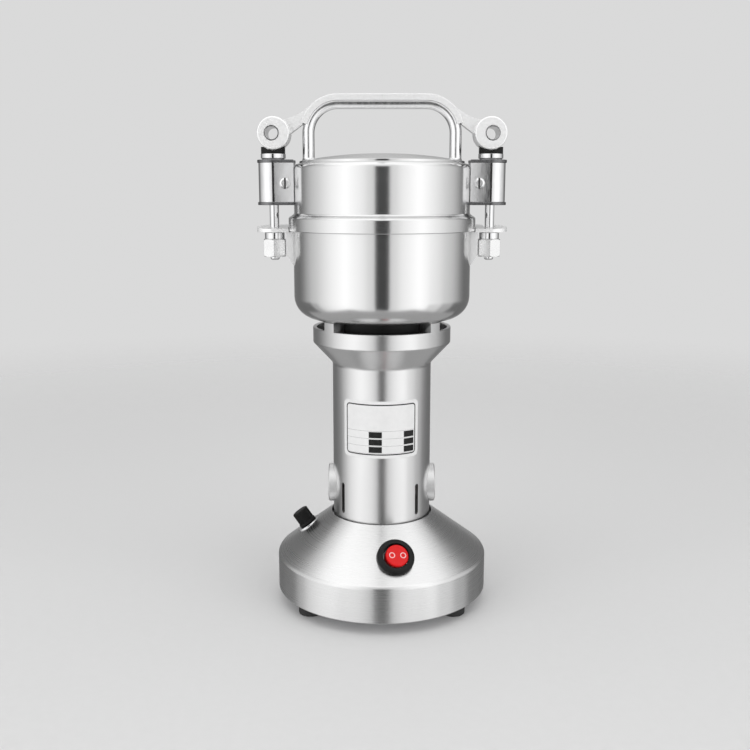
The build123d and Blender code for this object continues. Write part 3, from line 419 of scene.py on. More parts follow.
# %% [markdown]
# ## Plastic, rubber and the rest
# Moulded black parts have a fine spark-eroded texture and little shine, the rubber feet a duller one.
# The red rocker is glossy, so its grain is only a slow waviness. The gasket is pale silicone, the
# brushes carbon, the fuse a little glass tube, and the plate has its own paper and inks.

# %% Plastics
plain_specular = 0.5


def moulded(name, grain, dark, light, smooth, rough, relief, specular=plain_specular):
    """A plastic, rubber, paint or glass with an even grain."""
    finish, tree, shader = blank_finish(name, 0, rough)
    space = stretched_space(tree, (grain, grain, grain))
    lay_grain(tree, shader, space, dark, light, smooth, rough, relief)
    shader.inputs["Specular IOR Level"].default_value = specular
    return finish


black_plastic = moulded(
    "black_plastic", grain=1500, dark=grey(0.006), light=grey(0.015),
    smooth=0.35, rough=0.5, relief=0.008 * mm, specular=0.16,
)
black_rubber = moulded(
    "black_rubber", grain=1100, dark=grey(0.01), light=grey(0.024),
    smooth=0.6, rough=0.8, relief=0.015 * mm,
)
pale_silicone = moulded(
    "pale_silicone", grain=500, dark=grey(0.62), light=grey(0.72),
    smooth=0.45, rough=0.6, relief=0.01 * mm,
)
carbon = moulded(
    "carbon", grain=900, dark=grey(0.02), light=grey(0.05),
    smooth=0.5, rough=0.7, relief=0.01 * mm,
)
red_plastic = moulded(
    "red_plastic", grain=90, dark=(0.62, 0.004, 0.005), light=(0.68, 0.007, 0.008),
    smooth=0.28, rough=0.36, relief=0.003 * mm, specular=0.2,
)
ring_paint = moulded(
    "ring_paint", grain=600, dark=(0.82, 0.5, 0.5), light=(0.88, 0.6, 0.6),
    smooth=0.35, rough=0.5, relief=0.004 * mm,
)
# Painted shade: a near-black material for the floors of the screw slots, darkening them where shade
# falls.
slot_painted_shade = moulded(
    "slot_painted_shade", grain=900, dark=grey(0.012), light=grey(0.03),
    smooth=0.6, rough=0.8, relief=0.004 * mm,
)
label_paper = moulded(
    "label_paper", grain=300, dark=grey(0.76), light=grey(0.8),
    smooth=0.3, rough=0.4, relief=0.002 * mm,
)
label_ink = moulded(
    "label_ink", grain=800, dark=grey(0.008), light=grey(0.02),
    smooth=0.4, rough=0.55, relief=0.002 * mm, specular=0.2,
)
label_rule = moulded(
    "label_rule", grain=800, dark=grey(0.3), light=grey(0.36),
    smooth=0.35, rough=0.5, relief=0.002 * mm,
)
clear_glass = moulded(
    "clear_glass", grain=200, dark=(0.9, 0.93, 0.92), light=(0.95, 0.97, 0.96),
    smooth=0.02, rough=0.06, relief=0.002 * mm,
)
glass_shader = clear_glass.node_tree.nodes["Principled BSDF"]
glass_shader.inputs["Transmission Weight"].default_value = 1
print("plastics ready")

# %% [markdown]
# ## The base
# The base is one spun sheet: an upright rim, a rounded shoulder and a cone up to the column. A bare
# surface with a Solidify modifier would do, but a section drawn with its real thickness can have its
# own rounding at every corner, and the lower edge then draws the thin bright line of a hemmed edge.
# In the photograph the cone is a little steeper than the solid's and leaves a dark line round the
# column, so the sheet rises further and ends in a gap there.

# %% Base shell
base_low, base_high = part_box("base_shell")
column_low, column_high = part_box("motor_housing")
base_radius = base_high.x
rim_height = 20 * mm
rim_top = base_low.z + rim_height
base_sheet = 1.6 * mm
column_radius = 27.2 * mm
column_gap = 0.4 * mm
base_slope = (base_high.z - rim_top) / (base_radius - column_radius - column_gap)
sheet_drop = base_sheet * math.hypot(1, base_slope)
joint_gap = 1.2 * mm
cone_rise = 1.6 * mm
joint_z = base_high.z + cone_rise - (joint_gap - column_gap) * base_slope
base_shell = turned("spun_base", [
    (base_radius, base_low.z, 0.7 * mm),
    (base_radius, rim_top, 1.4 * mm),
    (column_radius + joint_gap, joint_z, 0.3 * mm),
    (column_radius + joint_gap, joint_z - sheet_drop, 0.2 * mm),
    (base_radius - base_sheet, rim_top + base_sheet * base_slope - sheet_drop, 0.6 * mm),
    (base_radius - base_sheet, base_low.z, 0.6 * mm),
])
settle(base_shell, "stand", "brushed_shell", brushed_base, "base_shell")

# %% [markdown]
# ## The motor column and its collar
# The column is a turned casting that flares into a collar. Four lugs stand inside the collar's edge
# and carry the bowl. They could be boxes, but spinning a rectangle only a few degrees gives them the
# collar's own curve. The long vent slots near the foot are cut with a boolean, as a slot cutter
# would. A boolean is only sure of one closed shape, and can lose a block that overlaps another, so
# the slots come first and the lugs are joined after them. A bevel then breaks the sharp edges.

# %% Column
collar_radius = column_high.x
flare_low = 134.9 * mm
flare_top = 146.3 * mm
collar_top = 154.7 * mm
column_bore = 25 * mm
collar_bore = collar_radius - 2 * mm
seat_z = 148 * mm
column = turned("motor_column", [
    (column_radius, column_low.z, 0),
    (column_radius, flare_low, 1.2 * mm),
    (collar_radius, flare_top, 0.5 * mm),
    (collar_radius, collar_top, 0.5 * mm),
    (collar_bore, collar_top, 0.4 * mm),
    (collar_bore, seat_z, 0),
    (column_bore, seat_z, 0),
    (column_bore, column_low.z, 0),
])
print("column turned,", round((column_high.z - column_low.z) / mm, 1), "mm with its lugs")

# %% Vent slots
lug_azimuth = math.radians(48)
vent_width = 2.5 * mm
vent_length = 17.4 * mm
vent_z = 61 * mm
vent_turn = math.radians(-3.5)
cutter_sides = 32
cutter_start = 5 * mm


def vent_cutter(azimuth):
    """A rounded bar that points out from the axis, to cut one slot with."""
    bpy.ops.object.select_all(action="DESELECT")
    reach = column_radius * 2
    bpy.ops.mesh.primitive_cylinder_add(vertices=cutter_sides, radius=vent_width / 2, depth=reach)
    piece = bpy.context.object
    stretch = (vent_length - vent_width) / 2
    for point in piece.data.vertices:
        point.co.y += math.copysign(stretch, point.co.y)
    outward = Vector((math.sin(azimuth), -math.cos(azimuth), 0))
    level = Vector((math.cos(azimuth), math.sin(azimuth), 0))
    turn = Matrix((level, Vector((0, 0, 1)), outward)).transposed().to_4x4()
    place = outward * (reach / 2 + cutter_start) + Vector((0, 0, vent_z))
    piece.data.transform(Matrix.Translation(place) @ turn)
    return piece


for azimuth in (-lug_azimuth, lug_azimuth, math.pi - lug_azimuth, lug_azimuth - math.pi):
    cutter = vent_cutter(azimuth + vent_turn)
    pick(column)
    cut = column.modifiers.new("vent", "BOOLEAN")
    cut.object = cutter
    cut.operation = "DIFFERENCE"
    cut.solver = "EXACT"
    bpy.ops.object.modifier_apply(modifier="vent")
    bpy.data.objects.remove(cutter)
print("four vent slots")

# %% Lugs
lug_depth = 8 * mm
lug_width = 7.5 * mm
lug_low = seat_z + 3 * mm
lug_reach = collar_radius - 0.05 * mm
lug_turn = lug_width / lug_reach
lug_steps = 8


def lug(azimuth):
    """A block inside the collar's edge: a rectangle spun through the lug's width."""
    piece = draw_section("lug", [
        (lug_reach - lug_depth, lug_low, 0),
        (lug_reach, lug_low, 0),
        (lug_reach, column_high.z, 0.6 * mm),
        (lug_reach - lug_depth, column_high.z, 0.6 * mm),
    ])
    bpy.ops.mesh.select_all(action="SELECT")
    bpy.ops.mesh.edge_face_add()
    bpy.ops.mesh.spin(steps=lug_steps, angle=lug_turn, center=(0, 0, 0), axis=(0, 0, -1))
    close_up(piece)
    piece.data.transform(Matrix.Rotation(azimuth - lug_turn / 2, 4, "Z"))
    return piece


lugs = [lug(side * math.pi / 2 + turn * lug_azimuth) for side in (-1, 1) for turn in (-1, 1)]
gather(column, lugs)
print("column with", len(lugs), "lugs")

# %% Broken edges
column_edge = 0.35 * mm
column_edge_steps = 2
column_sharp_angle = math.radians(60)
rounding = column.modifiers.new("rounding", "BEVEL")
rounding.width = column_edge
rounding.segments = column_edge_steps
rounding.limit_method = "ANGLE"
rounding.angle_limit = column_sharp_angle
bpy.ops.object.modifier_apply(modifier="rounding")
settle(column, "stand", "cast_housing", brushed_housing, "motor_housing")

# %% [markdown]
# ## The blank rating plate
# A thin white plate is glued round the front of the column, with a fine frame line and a small table
# whose cells are left blank. Each part of it is drawn flat as a rounded rectangle, given a hair of
# thickness, cut into narrow strips by bisecting, and then wrapped round the column. A flat plate
# would cut into the column or stand off it; wrapped, it lies on it and keeps its lengths.

# %% Wrapped panels
plate_turn = math.radians(-1.4)
plate_sink = 0.1 * mm
strip_width = 1 * mm
panel_corner_steps = 6


def panel(name, left, right, low, high, corner, lift):
    """A thin rounded rectangle wrapped round the column; left and right are lengths along its skin."""
    bpy.ops.object.select_all(action="DESELECT")
    middle = ((left + right) / 2, 0, (low + high) / 2)
    bpy.ops.mesh.primitive_plane_add(size=1, location=middle, rotation=(math.pi / 2, 0, 0))
    piece = bpy.context.object
    piece.name = name
    piece.scale = (right - left, high - low, 1)
    bpy.ops.object.transform_apply(location=True, rotation=True, scale=True)
    bpy.ops.object.mode_set(mode="EDIT")
    bpy.ops.mesh.select_all(action="SELECT")
    if corner:
        bpy.ops.mesh.bevel(offset=corner, segments=panel_corner_steps, affect="VERTICES")
        bpy.ops.mesh.select_all(action="SELECT")
    bpy.ops.mesh.extrude_region_move(TRANSFORM_OT_translate={"value": (0, -lift - plate_sink, 0)})
    for strip in range(1, math.ceil((right - left) / strip_width)):
        bpy.ops.mesh.select_all(action="SELECT")
        cut = (left + strip * strip_width, 0, 0)
        bpy.ops.mesh.bisect(plane_co=cut, plane_no=(1, 0, 0), threshold=weld)
    close_up(piece)
    for point in piece.data.vertices:
        azimuth = plate_turn + point.co.x / column_radius
        reach = column_radius - plate_sink - point.co.y
        point.co.x = reach * math.sin(azimuth)
        point.co.y = -reach * math.cos(azimuth)
    return piece


print("panel helper ready")

# %% Plate
plate_half = 22.1 * mm
plate_low = 86.3 * mm
plate_high = 117.6 * mm
plate_corner = 2.5 * mm
plate_lift = 0.09 * mm
plate = panel(
    "blank_plate", -plate_half, plate_half, plate_low, plate_high, plate_corner, plate_lift
)
side_margin = 1.9 * mm
end_margin = 1.71 * mm
line_width = 0.65 * mm
frame_half = plate_half - side_margin
frame_low = plate_low + end_margin
frame_high = plate_high - end_margin
face_half = frame_half - line_width
face_corner = 1.5 * mm
face_lift = 0.15 * mm
face = panel(
    "plate_face", -face_half, face_half, frame_low + line_width, frame_high - line_width,
    face_corner, face_lift,
)
gather(plate, [face])
settle(plate, "stand", None, label_paper)

# %% Frame line and blank cells
row_low = 89.4 * mm
row_pitch = 4.1 * mm
row_height = 3.3 * mm
rows = 3
cell_columns = [(-6.5 * mm, 0.6 * mm), (12.7 * mm, 18.9 * mm)]
cell_lift = 0.18 * mm
frame_corner = 2.125 * mm
frame_lift = 0.12 * mm
marks = panel(
    "plate_marks", -frame_half, frame_half, frame_low, frame_high, frame_corner, frame_lift
)
cells = []
for row in range(rows):
    low = row_low + row * row_pitch
    for left, right in cell_columns:
        cells.append(panel("cell", left, right, low, low + row_height, 0, cell_lift))
gather(marks, cells)
settle(marks, "stand", None, label_ink)

# %% Table rules
rule_height = 0.14 * mm
rule_lift = 0.165 * mm
rules = []
for row in range(rows + 1):
    middle = row_low + row * row_pitch - (row_pitch - row_height) / 2
    low = middle - rule_height / 2
    rules.append(panel("plate_rules", -face_half, face_half, low, low + rule_height, 0, rule_lift))
gather(rules[0], rules[1:])
settle(rules[0], "stand", None, label_rule)

# %% [markdown]
# ## Bowl, rim band and lid
# The bowl and the lid are drawn cups with a thin wall and a soft corner. Each is one section, outside
# and inside, spun round, because the inside shows when the lid is open. The band is a heavier ring
# round the bowl's mouth with a sloping shoulder. The lid's foot runs out on to that shoulder, so that
# the two make one S with a hairline, and a small step sets off the domed top. The silicone ring lies
# in a groove under the foot.

# %% Bowl
bowl_low, bowl_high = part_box("grinding_bowl")
bowl_radius = bowl_high.x
bowl_wall = 1.4 * mm
bowl_corner = 12 * mm
seal_hole = 9 * mm
bowl = turned("drawn_bowl", [
    (seal_hole, bowl_low.z, 0),
    (bowl_radius, bowl_low.z, bowl_corner),
    (bowl_radius, bowl_high.z, 0.3 * mm),
    (bowl_radius - bowl_wall, bowl_high.z, 0.3 * mm),
    (bowl_radius - bowl_wall, bowl_low.z + bowl_wall, bowl_corner - bowl_wall),
    (seal_hole, bowl_low.z + bowl_wall, 0),
])
settle(bowl, "stand", "brushed_shell", brushed_shell, "grinding_bowl")

# %% Rim band
band_low, band_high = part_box("rim_band")
band_radius = band_high.x
band_slope = 1.9 * mm
slope_rise = 0.6
band = turned("rim_ring", [
    (bowl_radius, band_low.z, 0),
    (band_radius, band_low.z, 0.5 * mm),
    (band_radius, band_high.z - slope_rise * band_slope, 0.75 * mm),
    (band_radius - band_slope, band_high.z, 0.1 * mm),
    (bowl_radius, band_high.z, 0),
])
settle(band, "stand", "brushed_shell", brushed_shell, "rim_band")

# %% Lid
lid_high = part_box("lid_shell")[1]
lid_radius = 47.2 * mm
lid_wall = 1.4 * mm
lid_round = 3.1 * mm
lid_inside = lid_radius - lid_wall
lid_dome = 4.2 * mm
lid_step = 1.2 * mm
step_radius = 44 * mm
dome_edge = lid_high.z - lid_dome
lid_edge = dome_edge - lid_step
lid_foot = band_high.z + 0.1 * mm
foot_radius = band_radius - band_slope
foot_height = slope_rise * (foot_radius - lid_radius)
groove_radius = lid_radius - 0.3 * mm
groove_top = lid_foot + 0.8 * mm
dome_radius = (step_radius**2 + lid_dome**2) / (2 * lid_dome)
dome_steps = 8


def dome_height(radius):
    """The height of the lid's top at a radius, on a large sphere."""
    return lid_high.z - dome_radius + math.sqrt(dome_radius**2 - radius**2)


dome_points = [step_radius * step / dome_steps for step in range(dome_steps)]
lid = turned("drawn_lid", [
    *[(radius, dome_height(radius), 0) for radius in dome_points],
    (step_radius, dome_edge, 0.15 * mm),
    (step_radius, lid_edge, 0.2 * mm),
    (lid_radius, lid_edge, lid_round),
    (lid_radius, lid_foot + foot_height, 0.75 * mm),
    (foot_radius, lid_foot, 0.05 * mm),
    (groove_radius, lid_foot, 0),
    (groove_radius, groove_top, 0),
    (lid_inside, groove_top, 0.1 * mm),
    (lid_inside, lid_edge - lid_wall, lid_round - lid_wall),
    *[(radius, dome_height(radius) - lid_wall, 0) for radius in reversed(dome_points)],
])
settle(lid, "lid", "brushed_shell", brushed_shell, "lid_shell")

# %% Gasket
gasket_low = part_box("lid_gasket")[0]
gasket_play = 0.05 * mm
gasket_steps = 192
gasket = turned("silicone_ring", [
    (lid_inside, gasket_low.z, 0.3 * mm),
    (groove_radius - gasket_play, gasket_low.z, 0.3 * mm),
    (groove_radius - gasket_play, groove_top - gasket_play, 0),
    (lid_inside, groove_top - gasket_play, 0),
], steps=gasket_steps)
settle(gasket, "lid", "pale_silicone", pale_silicone, "lid_gasket")

# %% [markdown]
# ## The carrying handle
# The handle is one bent bar welded to the lid. A curve with a round bevel could give it, but it is
# modelled as the bar is bent: a disc is extruded up the first leg, spun through a right angle round
# each bend's centre, and run down the other leg, so that every bend is a true arc. A weld fillet
# closes each foot.

# %% Handle
handle_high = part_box("carry_handle")[1]
bar_radius = 3.2 * mm
leg_x = 39.1 * mm
bend = 15.8 * mm
bar_z = handle_high.z - bar_radius
bend_x = leg_x - bend
bend_z = bar_z - bend
bend_steps = 24
bar_sides = 48
foot_z = dome_edge
bpy.ops.object.select_all(action="DESELECT")
bpy.ops.mesh.primitive_circle_add(
    vertices=bar_sides, radius=bar_radius, fill_type="NGON", location=(-leg_x, 0, foot_z)
)
handle = bpy.context.object
handle.name = "bent_handle"
bpy.ops.object.transform_apply(location=True)
bpy.ops.object.mode_set(mode="EDIT")
bpy.ops.mesh.select_all(action="SELECT")
bpy.ops.mesh.extrude_region_move(TRANSFORM_OT_translate={"value": (0, 0, bend_z - foot_z)})
bpy.ops.mesh.spin(
    steps=bend_steps, angle=math.pi / 2, center=(-bend_x, 0, bend_z), axis=(0, -1, 0)
)
bpy.ops.mesh.extrude_region_move(TRANSFORM_OT_translate={"value": (2 * bend_x, 0, 0)})
bpy.ops.mesh.spin(
    steps=bend_steps, angle=math.pi / 2, center=(bend_x, 0, bend_z), axis=(0, -1, 0)
)
bpy.ops.mesh.extrude_region_move(TRANSFORM_OT_translate={"value": (0, 0, foot_z - bend_z)})
close_up(handle)
print("bar bent twice round", round(bend / mm, 1), "mm")

# %% Weld fillets
weld_reach = 1.2 * mm
weld_skirt = 0.8 * mm
weld_inside = bar_radius - 0.4 * mm
weld_steps = 6
dome_lean = math.asin(leg_x / dome_radius)


def weld_fillet(side):
    """A hollow-sided ring of weld round one foot of the handle, square on the dome."""
    arc = []
    for step in range(weld_steps + 1):
        turn = step / weld_steps * math.pi / 2
        radius = bar_radius + weld_reach * (1 - math.sin(turn))
        arc.append((radius, weld_reach * (1 - math.cos(turn)), 0))
    foot = [(weld_inside, -weld_skirt, 0), (bar_radius + weld_reach, -weld_skirt, 0)]
    piece = turned("weld", [*foot, *arc, (weld_inside, weld_reach, 0)], steps=bar_sides)
    place = Matrix.Translation((side * leg_x, 0, dome_height(leg_x)))
    piece.data.transform(place @ Matrix.Rotation(side * dome_lean, 4, "Y"))
    return piece


gather(handle, [weld_fillet(side) for side in (-1, 1)])
settle(handle, "lid", "polished_steel", satin_steel, "carry_handle")

# %% [markdown]
# ## Clamp hardware
# The clamps are small castings, bent straps, rods and nuts whose solids already have the right form.
# Modelling them again would gain nothing, so each gets a rounded copy: a wide rounding on the
# castings, a narrow one on machined pieces. The same helper serves the feet, the grommet, the brush
# caps, the switch's housing and the fuse's washer. The nuts are then turned so that a corner faces
# the front, and grown a little round their bore.

# %% Clamps
hardware = [
    ("hinge_ear", "stand", "polished_steel", cast_alloy, 0.4),
    ("latch_ear", "stand", "polished_steel", cast_alloy, 0.4),
    ("hinge_bracket", "lid", "polished_steel", polished_steel, 0.25),
    ("latch_bracket", "lid", "polished_steel", polished_steel, 0.25),
    # The end plates' near-black steel is painted shade.
    ("bracket_end_plates", "lid", "polished_steel", painted_shade_steel, 0.3),
    ("cam_washers", "lid", "polished_steel", polished_steel, 0.25),
    ("cam_saddles", "lid", "black_plastic", black_plastic, 0.25),
    ("cam_pins", "lid", "polished_steel", polished_steel, 0.15),
    ("hinge_rod", "lid", "polished_steel", polished_steel, 0.25),
    ("latch_rod", "lid", "polished_steel", polished_steel, 0.25),
    ("rod_collars", "lid", "polished_steel", polished_steel, 0.3),
    ("brush_caps", "stand", "polished_steel", tumbled_steel, 0.4),
    ("rubber_feet", "stand", "black_rubber", black_rubber, 0.8),
    ("cord_grommet", "stand", "black_rubber", black_rubber, 0.5),
    ("switch_housing", "stand", "black_plastic", black_plastic, 0.3),
    ("fuse_washer", "stand", "polished_steel", satin_steel, 0.2),
]
for node, body, slot, finish, edge in hardware:
    settle(rounded_copy(node, node + "_skin", edge * mm), body, slot, finish, node)

# %% Rod nuts
rod_x = 58 * mm
nut_turn = Matrix.Rotation(math.radians(30), 3, "Z")
nut_growth = 1.14
nut_core = 3.5 * mm
nut_edge = 0.2 * mm
nuts = rounded_copy("rod_nuts", "rod_nuts_skin", nut_edge)
for point in nuts.data.vertices:
    middle = Vector((math.copysign(rod_x, point.co.x), 0, point.co.z))
    offset = nut_turn @ (point.co - middle)
    point.co = middle + offset * (nut_growth if offset.length > nut_core else 1)
settle(nuts, "lid", "polished_steel", bright_alloy, "rod_nuts")

# %% [markdown]
# ## Slotted screws
# Two screws hold each bracket, one in front and one behind. Their slots are cut in the solids already,
# and the floor of each slot gets painted shade: a near-black material that darkens it as shade would.
# The faces at the bottom of each slot are found by their depth under the head and their distance from
# its middle, and get this second material.

# %% Screws
screw_edge = 0.12 * mm
screw_lean = math.radians(8)
slot_half = 0.5 * mm
slot_low = 0.9 * mm
slot_high = 0.3 * mm
screws = rounded_copy("bracket_screws", "slotted_screws", screw_edge)
settle(screws, "lid", "polished_steel", satin_steel, "bracket_screws")
# The second material paints shade on the floors of the slots.
screws.data.materials.append(slot_painted_shade)
slot_faces = 0
for side in (-1, 1):
    for way in (-1, 1):
        axis = Vector((-side * math.sin(screw_lean), way * math.cos(screw_lean), 0))
        level = Vector((axis.y, -axis.x, 0))
        places = [point.co for point in screws.data.vertices]
        places = [place for place in places if place.x * side > 0 and place.y * way > 0]
        head = max(place.dot(axis) for place in places)
        across = [place.dot(level) for place in places]
        middle = (min(across) + max(across)) / 2
        for face in screws.data.polygons:
            if face.center.x * side < 0 or face.center.y * way < 0:
                continue
            depth = head - face.center.dot(axis)
            if slot_high < depth < slot_low and abs(face.center.dot(level) - middle) < slot_half:
                face.material_index = 1
                slot_faces += 1
# The count is of the slot faces that carry painted shade.
print("grime on", slot_faces, "faces of the slots")

# %% [markdown]
# ## Cam levers
# Each lever is one casting: a round cam head with an eye, and an arm that widens into a strap lying on
# the handle, where the two straps meet. The rounded copies are drawn together at that split. The
# straps are flanged, so a lip is laid along both edges: a small rounded rectangle is extruded along
# the bar and spun round its bend, and joined to the lever.

# %% Levers
lever_edge = 0.5 * mm
split_reach = 0.5 * mm
split_close = 0.24 * mm
lip_split = 0.06 * mm
lip_inside = 3.1 * mm
lip_outside = 3.7 * mm
lip_low = bar_z + 1.1 * mm
lip_high = handle_high.z + 1.1 * mm
lip_turn = math.radians(74)
lip_round = 0.25 * mm
lip_round_steps = 4
lip_bend_steps = 16


def strap_lip(side, way):
    """A lip along one edge of a lever's strap, run along the handle and round its bend."""
    bpy.ops.object.select_all(action="DESELECT")
    middle = (side * lip_split, way * (lip_inside + lip_outside) / 2, (lip_low + lip_high) / 2)
    bpy.ops.mesh.primitive_plane_add(size=1, location=middle, rotation=(0, math.pi / 2, 0))
    piece = bpy.context.object
    piece.scale = (lip_high - lip_low, lip_outside - lip_inside, 1)
    bpy.ops.object.transform_apply(location=True, rotation=True, scale=True)
    bpy.ops.object.mode_set(mode="EDIT")
    bpy.ops.mesh.select_all(action="SELECT")
    bpy.ops.mesh.bevel(offset=lip_round, segments=lip_round_steps, affect="VERTICES")
    bpy.ops.mesh.select_all(action="SELECT")
    run = side * (bend_x - lip_split)
    bpy.ops.mesh.extrude_region_move(TRANSFORM_OT_translate={"value": (run, 0, 0)})
    center = (side * bend_x, 0, bend_z)
    bpy.ops.mesh.spin(steps=lip_bend_steps, angle=lip_turn, center=center, axis=(0, -side, 0))
    close_up(piece)
    return piece


levers = [(-1, "left_cam_lever", "left_lever"), (1, "right_cam_lever", "right_lever")]
for side, node, body in levers:
    lever = rounded_copy(node, node + "_skin", lever_edge)
    for point in lever.data.vertices:
        if abs(point.co.x) < split_reach:
            point.co.x -= side * split_close
    gather(lever, [strap_lip(side, way) for way in (-1, 1)])
    settle(lever, body, "polished_steel", cast_alloy, node)

# %% [markdown]
# ## The switch and the fuse cap
# A helper gives the frame of a place on the solid base's cone, so that a piece can be turned upright
# at the origin and then set down there. The fuse cap sits square on the cone. The switch's bezel is a
# wedge that leans towards the front: its foot stays where it is, while all above it is tipped, lifted
# and slid a little down the slope. The rocker is a round red button in that bezel, tipped to one side
# about the axis that it moves round, and marked with two pale rings. The fuse cap has a ribbed grip,
# made by drawing in every second point of a cylinder.

# %% Places on the cone
cone_lean = math.atan(base_slope)


def cone_frame(azimuth, radius):
    """A place on the base's cone: X level, Y up the slope and Z straight out."""
    outward = Vector((math.sin(azimuth), -math.cos(azimuth), 0))
    level = Vector((math.cos(azimuth), math.sin(azimuth), 0))
    normal = outward * math.sin(cone_lean) + Vector((0, 0, math.cos(cone_lean)))
    turn = Matrix((level, normal.cross(level), normal)).transposed().to_4x4()
    height = rim_top + (base_radius - radius) * base_slope
    return Matrix.Translation(outward * radius + Vector((0, 0, height))) @ turn


print("the cone leans", round(math.degrees(cone_lean), 1), "degrees")

# %% Bezel
switch_azimuth = math.radians(8.8)
switch_radius = 44.3 * mm
switch_place = cone_frame(switch_azimuth, switch_radius)
bezel_foot = 0.2 * mm
bezel_lift = 1.7 * mm
bezel_slide = 1 * mm
bezel_lean = math.radians(11)
bezel_shift = Matrix.Translation((0, -bezel_slide, bezel_lift))
switch_face = switch_place @ bezel_shift @ Matrix.Rotation(bezel_lean, 4, "X")
bezel = bpy.data.objects["switch_housing_skin"]
to_switch = switch_place.inverted()
for point in bezel.data.vertices:
    place = to_switch @ point.co
    if place.z > bezel_foot:
        point.co = switch_face @ place
print("bezel leans", round(math.degrees(bezel_lean)), "degrees to the front")

# %% Rocker
rocker_tip = math.radians(7)
rocker_turn = switch_place @ Matrix.Rotation(rocker_tip, 4, "Y") @ to_switch
rocker_place = rocker_turn @ switch_face
rocker_radius = 6.15 * mm
rocker_top = 3.8 * mm
rocker_low = -1.2 * mm
rocker_round = 0.9 * mm
rocker_steps = 96
rocker = turned("red_rocker", [
    (0, rocker_top, 0),
    (rocker_radius, rocker_top, rocker_round),
    (rocker_radius, rocker_low, 0),
    (0, rocker_low, 0),
], steps=rocker_steps)
rocker.data.transform(rocker_place)
settle(rocker, "rocker", "red_plastic", red_plastic, "switch_rocker")

# %% Rocker marks
mark_x = 3 * mm
mark_outside = 1.6 * mm
mark_inside = 1.15 * mm
mark_round = 0.05 * mm
mark_steps = 48
mark_top = rocker_top + 0.06 * mm
mark_low = rocker_top - 0.4 * mm


def rocker_mark(side):
    """A pale ring set into one half of the rocker."""
    piece = turned("rocker_marks", [
        (mark_inside, mark_low, 0),
        (mark_outside, mark_low, 0),
        (mark_outside, mark_top, mark_round),
        (mark_inside, mark_top, mark_round),
    ], steps=mark_steps)
    piece.data.transform(rocker_place @ Matrix.Translation((side * mark_x, 0, 0)))
    return piece


marks = [rocker_mark(side) for side in (-1, 1)]
gather(marks[0], marks[1:])
settle(marks[0], "rocker", None, ring_paint)

# %% Fuse cap
fuse_azimuth = math.radians(-96)
fuse_radius = 42 * mm
fuse_place = cone_frame(fuse_azimuth, fuse_radius)
cap_low = 1.3 * mm
cap_height = 8.6 * mm
cap_radius = 4.7 * mm
cap_edge = 0.5 * mm
cap_taper = 0.86
facing_up = 0.9
rib_depth = 0.25 * mm
rib_count = 40
bpy.ops.object.select_all(action="DESELECT")
grip_height = cap_height - cap_edge
grip_middle = (0, 0, cap_low + grip_height / 2)
bpy.ops.mesh.primitive_cylinder_add(
    vertices=2 * rib_count, radius=cap_radius, depth=grip_height, location=grip_middle
)
cap = bpy.context.object
cap.name = "ribbed_cap"
bpy.ops.object.transform_apply(location=True)
for point in cap.data.vertices:
    rib = round(math.atan2(point.co.y, point.co.x) / math.tau * 2 * rib_count)
    drawn_in = 1 - rib_depth / cap_radius * (rib % 2)
    point.co.x *= drawn_in
    point.co.y *= drawn_in
bpy.ops.object.mode_set(mode="EDIT")
pick_faces(cap, lambda middle, normal: normal.z > facing_up)
bpy.ops.mesh.extrude_region_move(TRANSFORM_OT_translate={"value": (0, 0, cap_edge)})
bpy.ops.transform.resize(value=(cap_taper, cap_taper, 1), center_override=(0, 0, 0))
close_up(cap)
print("cap with", rib_count, "ribs")

# %% Fuse cap's flange
flange_radius = 5.1 * mm
flange_height = 1.5 * mm
flange_round = 0.3 * mm
flange_steps = 64
flange = turned("flange", [
    (0, cap_low, 0),
    (flange_radius, cap_low, flange_round),
    (flange_radius, cap_low + flange_height, flange_round),
    (0, cap_low + flange_height, 0),
], steps=flange_steps)
gather(cap, [flange])
cap.data.transform(fuse_place)
settle(cap, "fuse", "black_plastic", black_plastic, "fuse_cap")

# %% [markdown]
# ## The solids that stay
# Everything inside the column, and what shows only when the lid is open, keeps its CAD solid and gets a
# finish for its real material.

# %% Finishes of the solids
kept_solids = {
    plain_steel: [
        "base_plate", "foot_screws", "column_clamp_ring", "upper_bearing", "lower_bearing",
        "lower_bearing_bracket", "brush_springs", "bowl_screws", "motor_shaft", "guide_blocks",
    ],
    blade_steel: ["lower_blade", "upper_blade", "blade_spacer", "blade_nut"],
    laminations: ["stator_core", "armature_core"],
    copper_wire: ["field_coils", "armature_windings", "commutator"],
    plain_brass: ["brush_holders"],
    carbon: ["carbon_brushes"],
    black_plastic: ["motor_cover", "fuse_holder", "cooling_fan"],
    black_rubber: ["shaft_seal"],
    clear_glass: ["fuse_link"],
}
for finish, names in kept_solids.items():
    for name in names:
        solid = frame["nodes"][name]
        solid.data.materials.clear()
        solid.data.materials.append(finish)
print("finishes on", sum(len(names) for names in kept_solids.values()), "solids")

# %% [markdown]
# ## The studio
# A pale floor fades into a pale surround. Two softboxes left and right of the camera and one overhead
# light it, and are themselves kept out of reflections. Steel shows its surroundings, so a light tent
# that only reflections see stands round it all: brightest either side of the camera, dark towards the
# back, with a narrow dark screen at the front and dim skirts low at the sides. Glowing cards above,
# with a narrow gap in the middle, and one below give the cone, the handle and the shoulder their
# light. Lamps alone would leave such metal black between a few hard streaks.

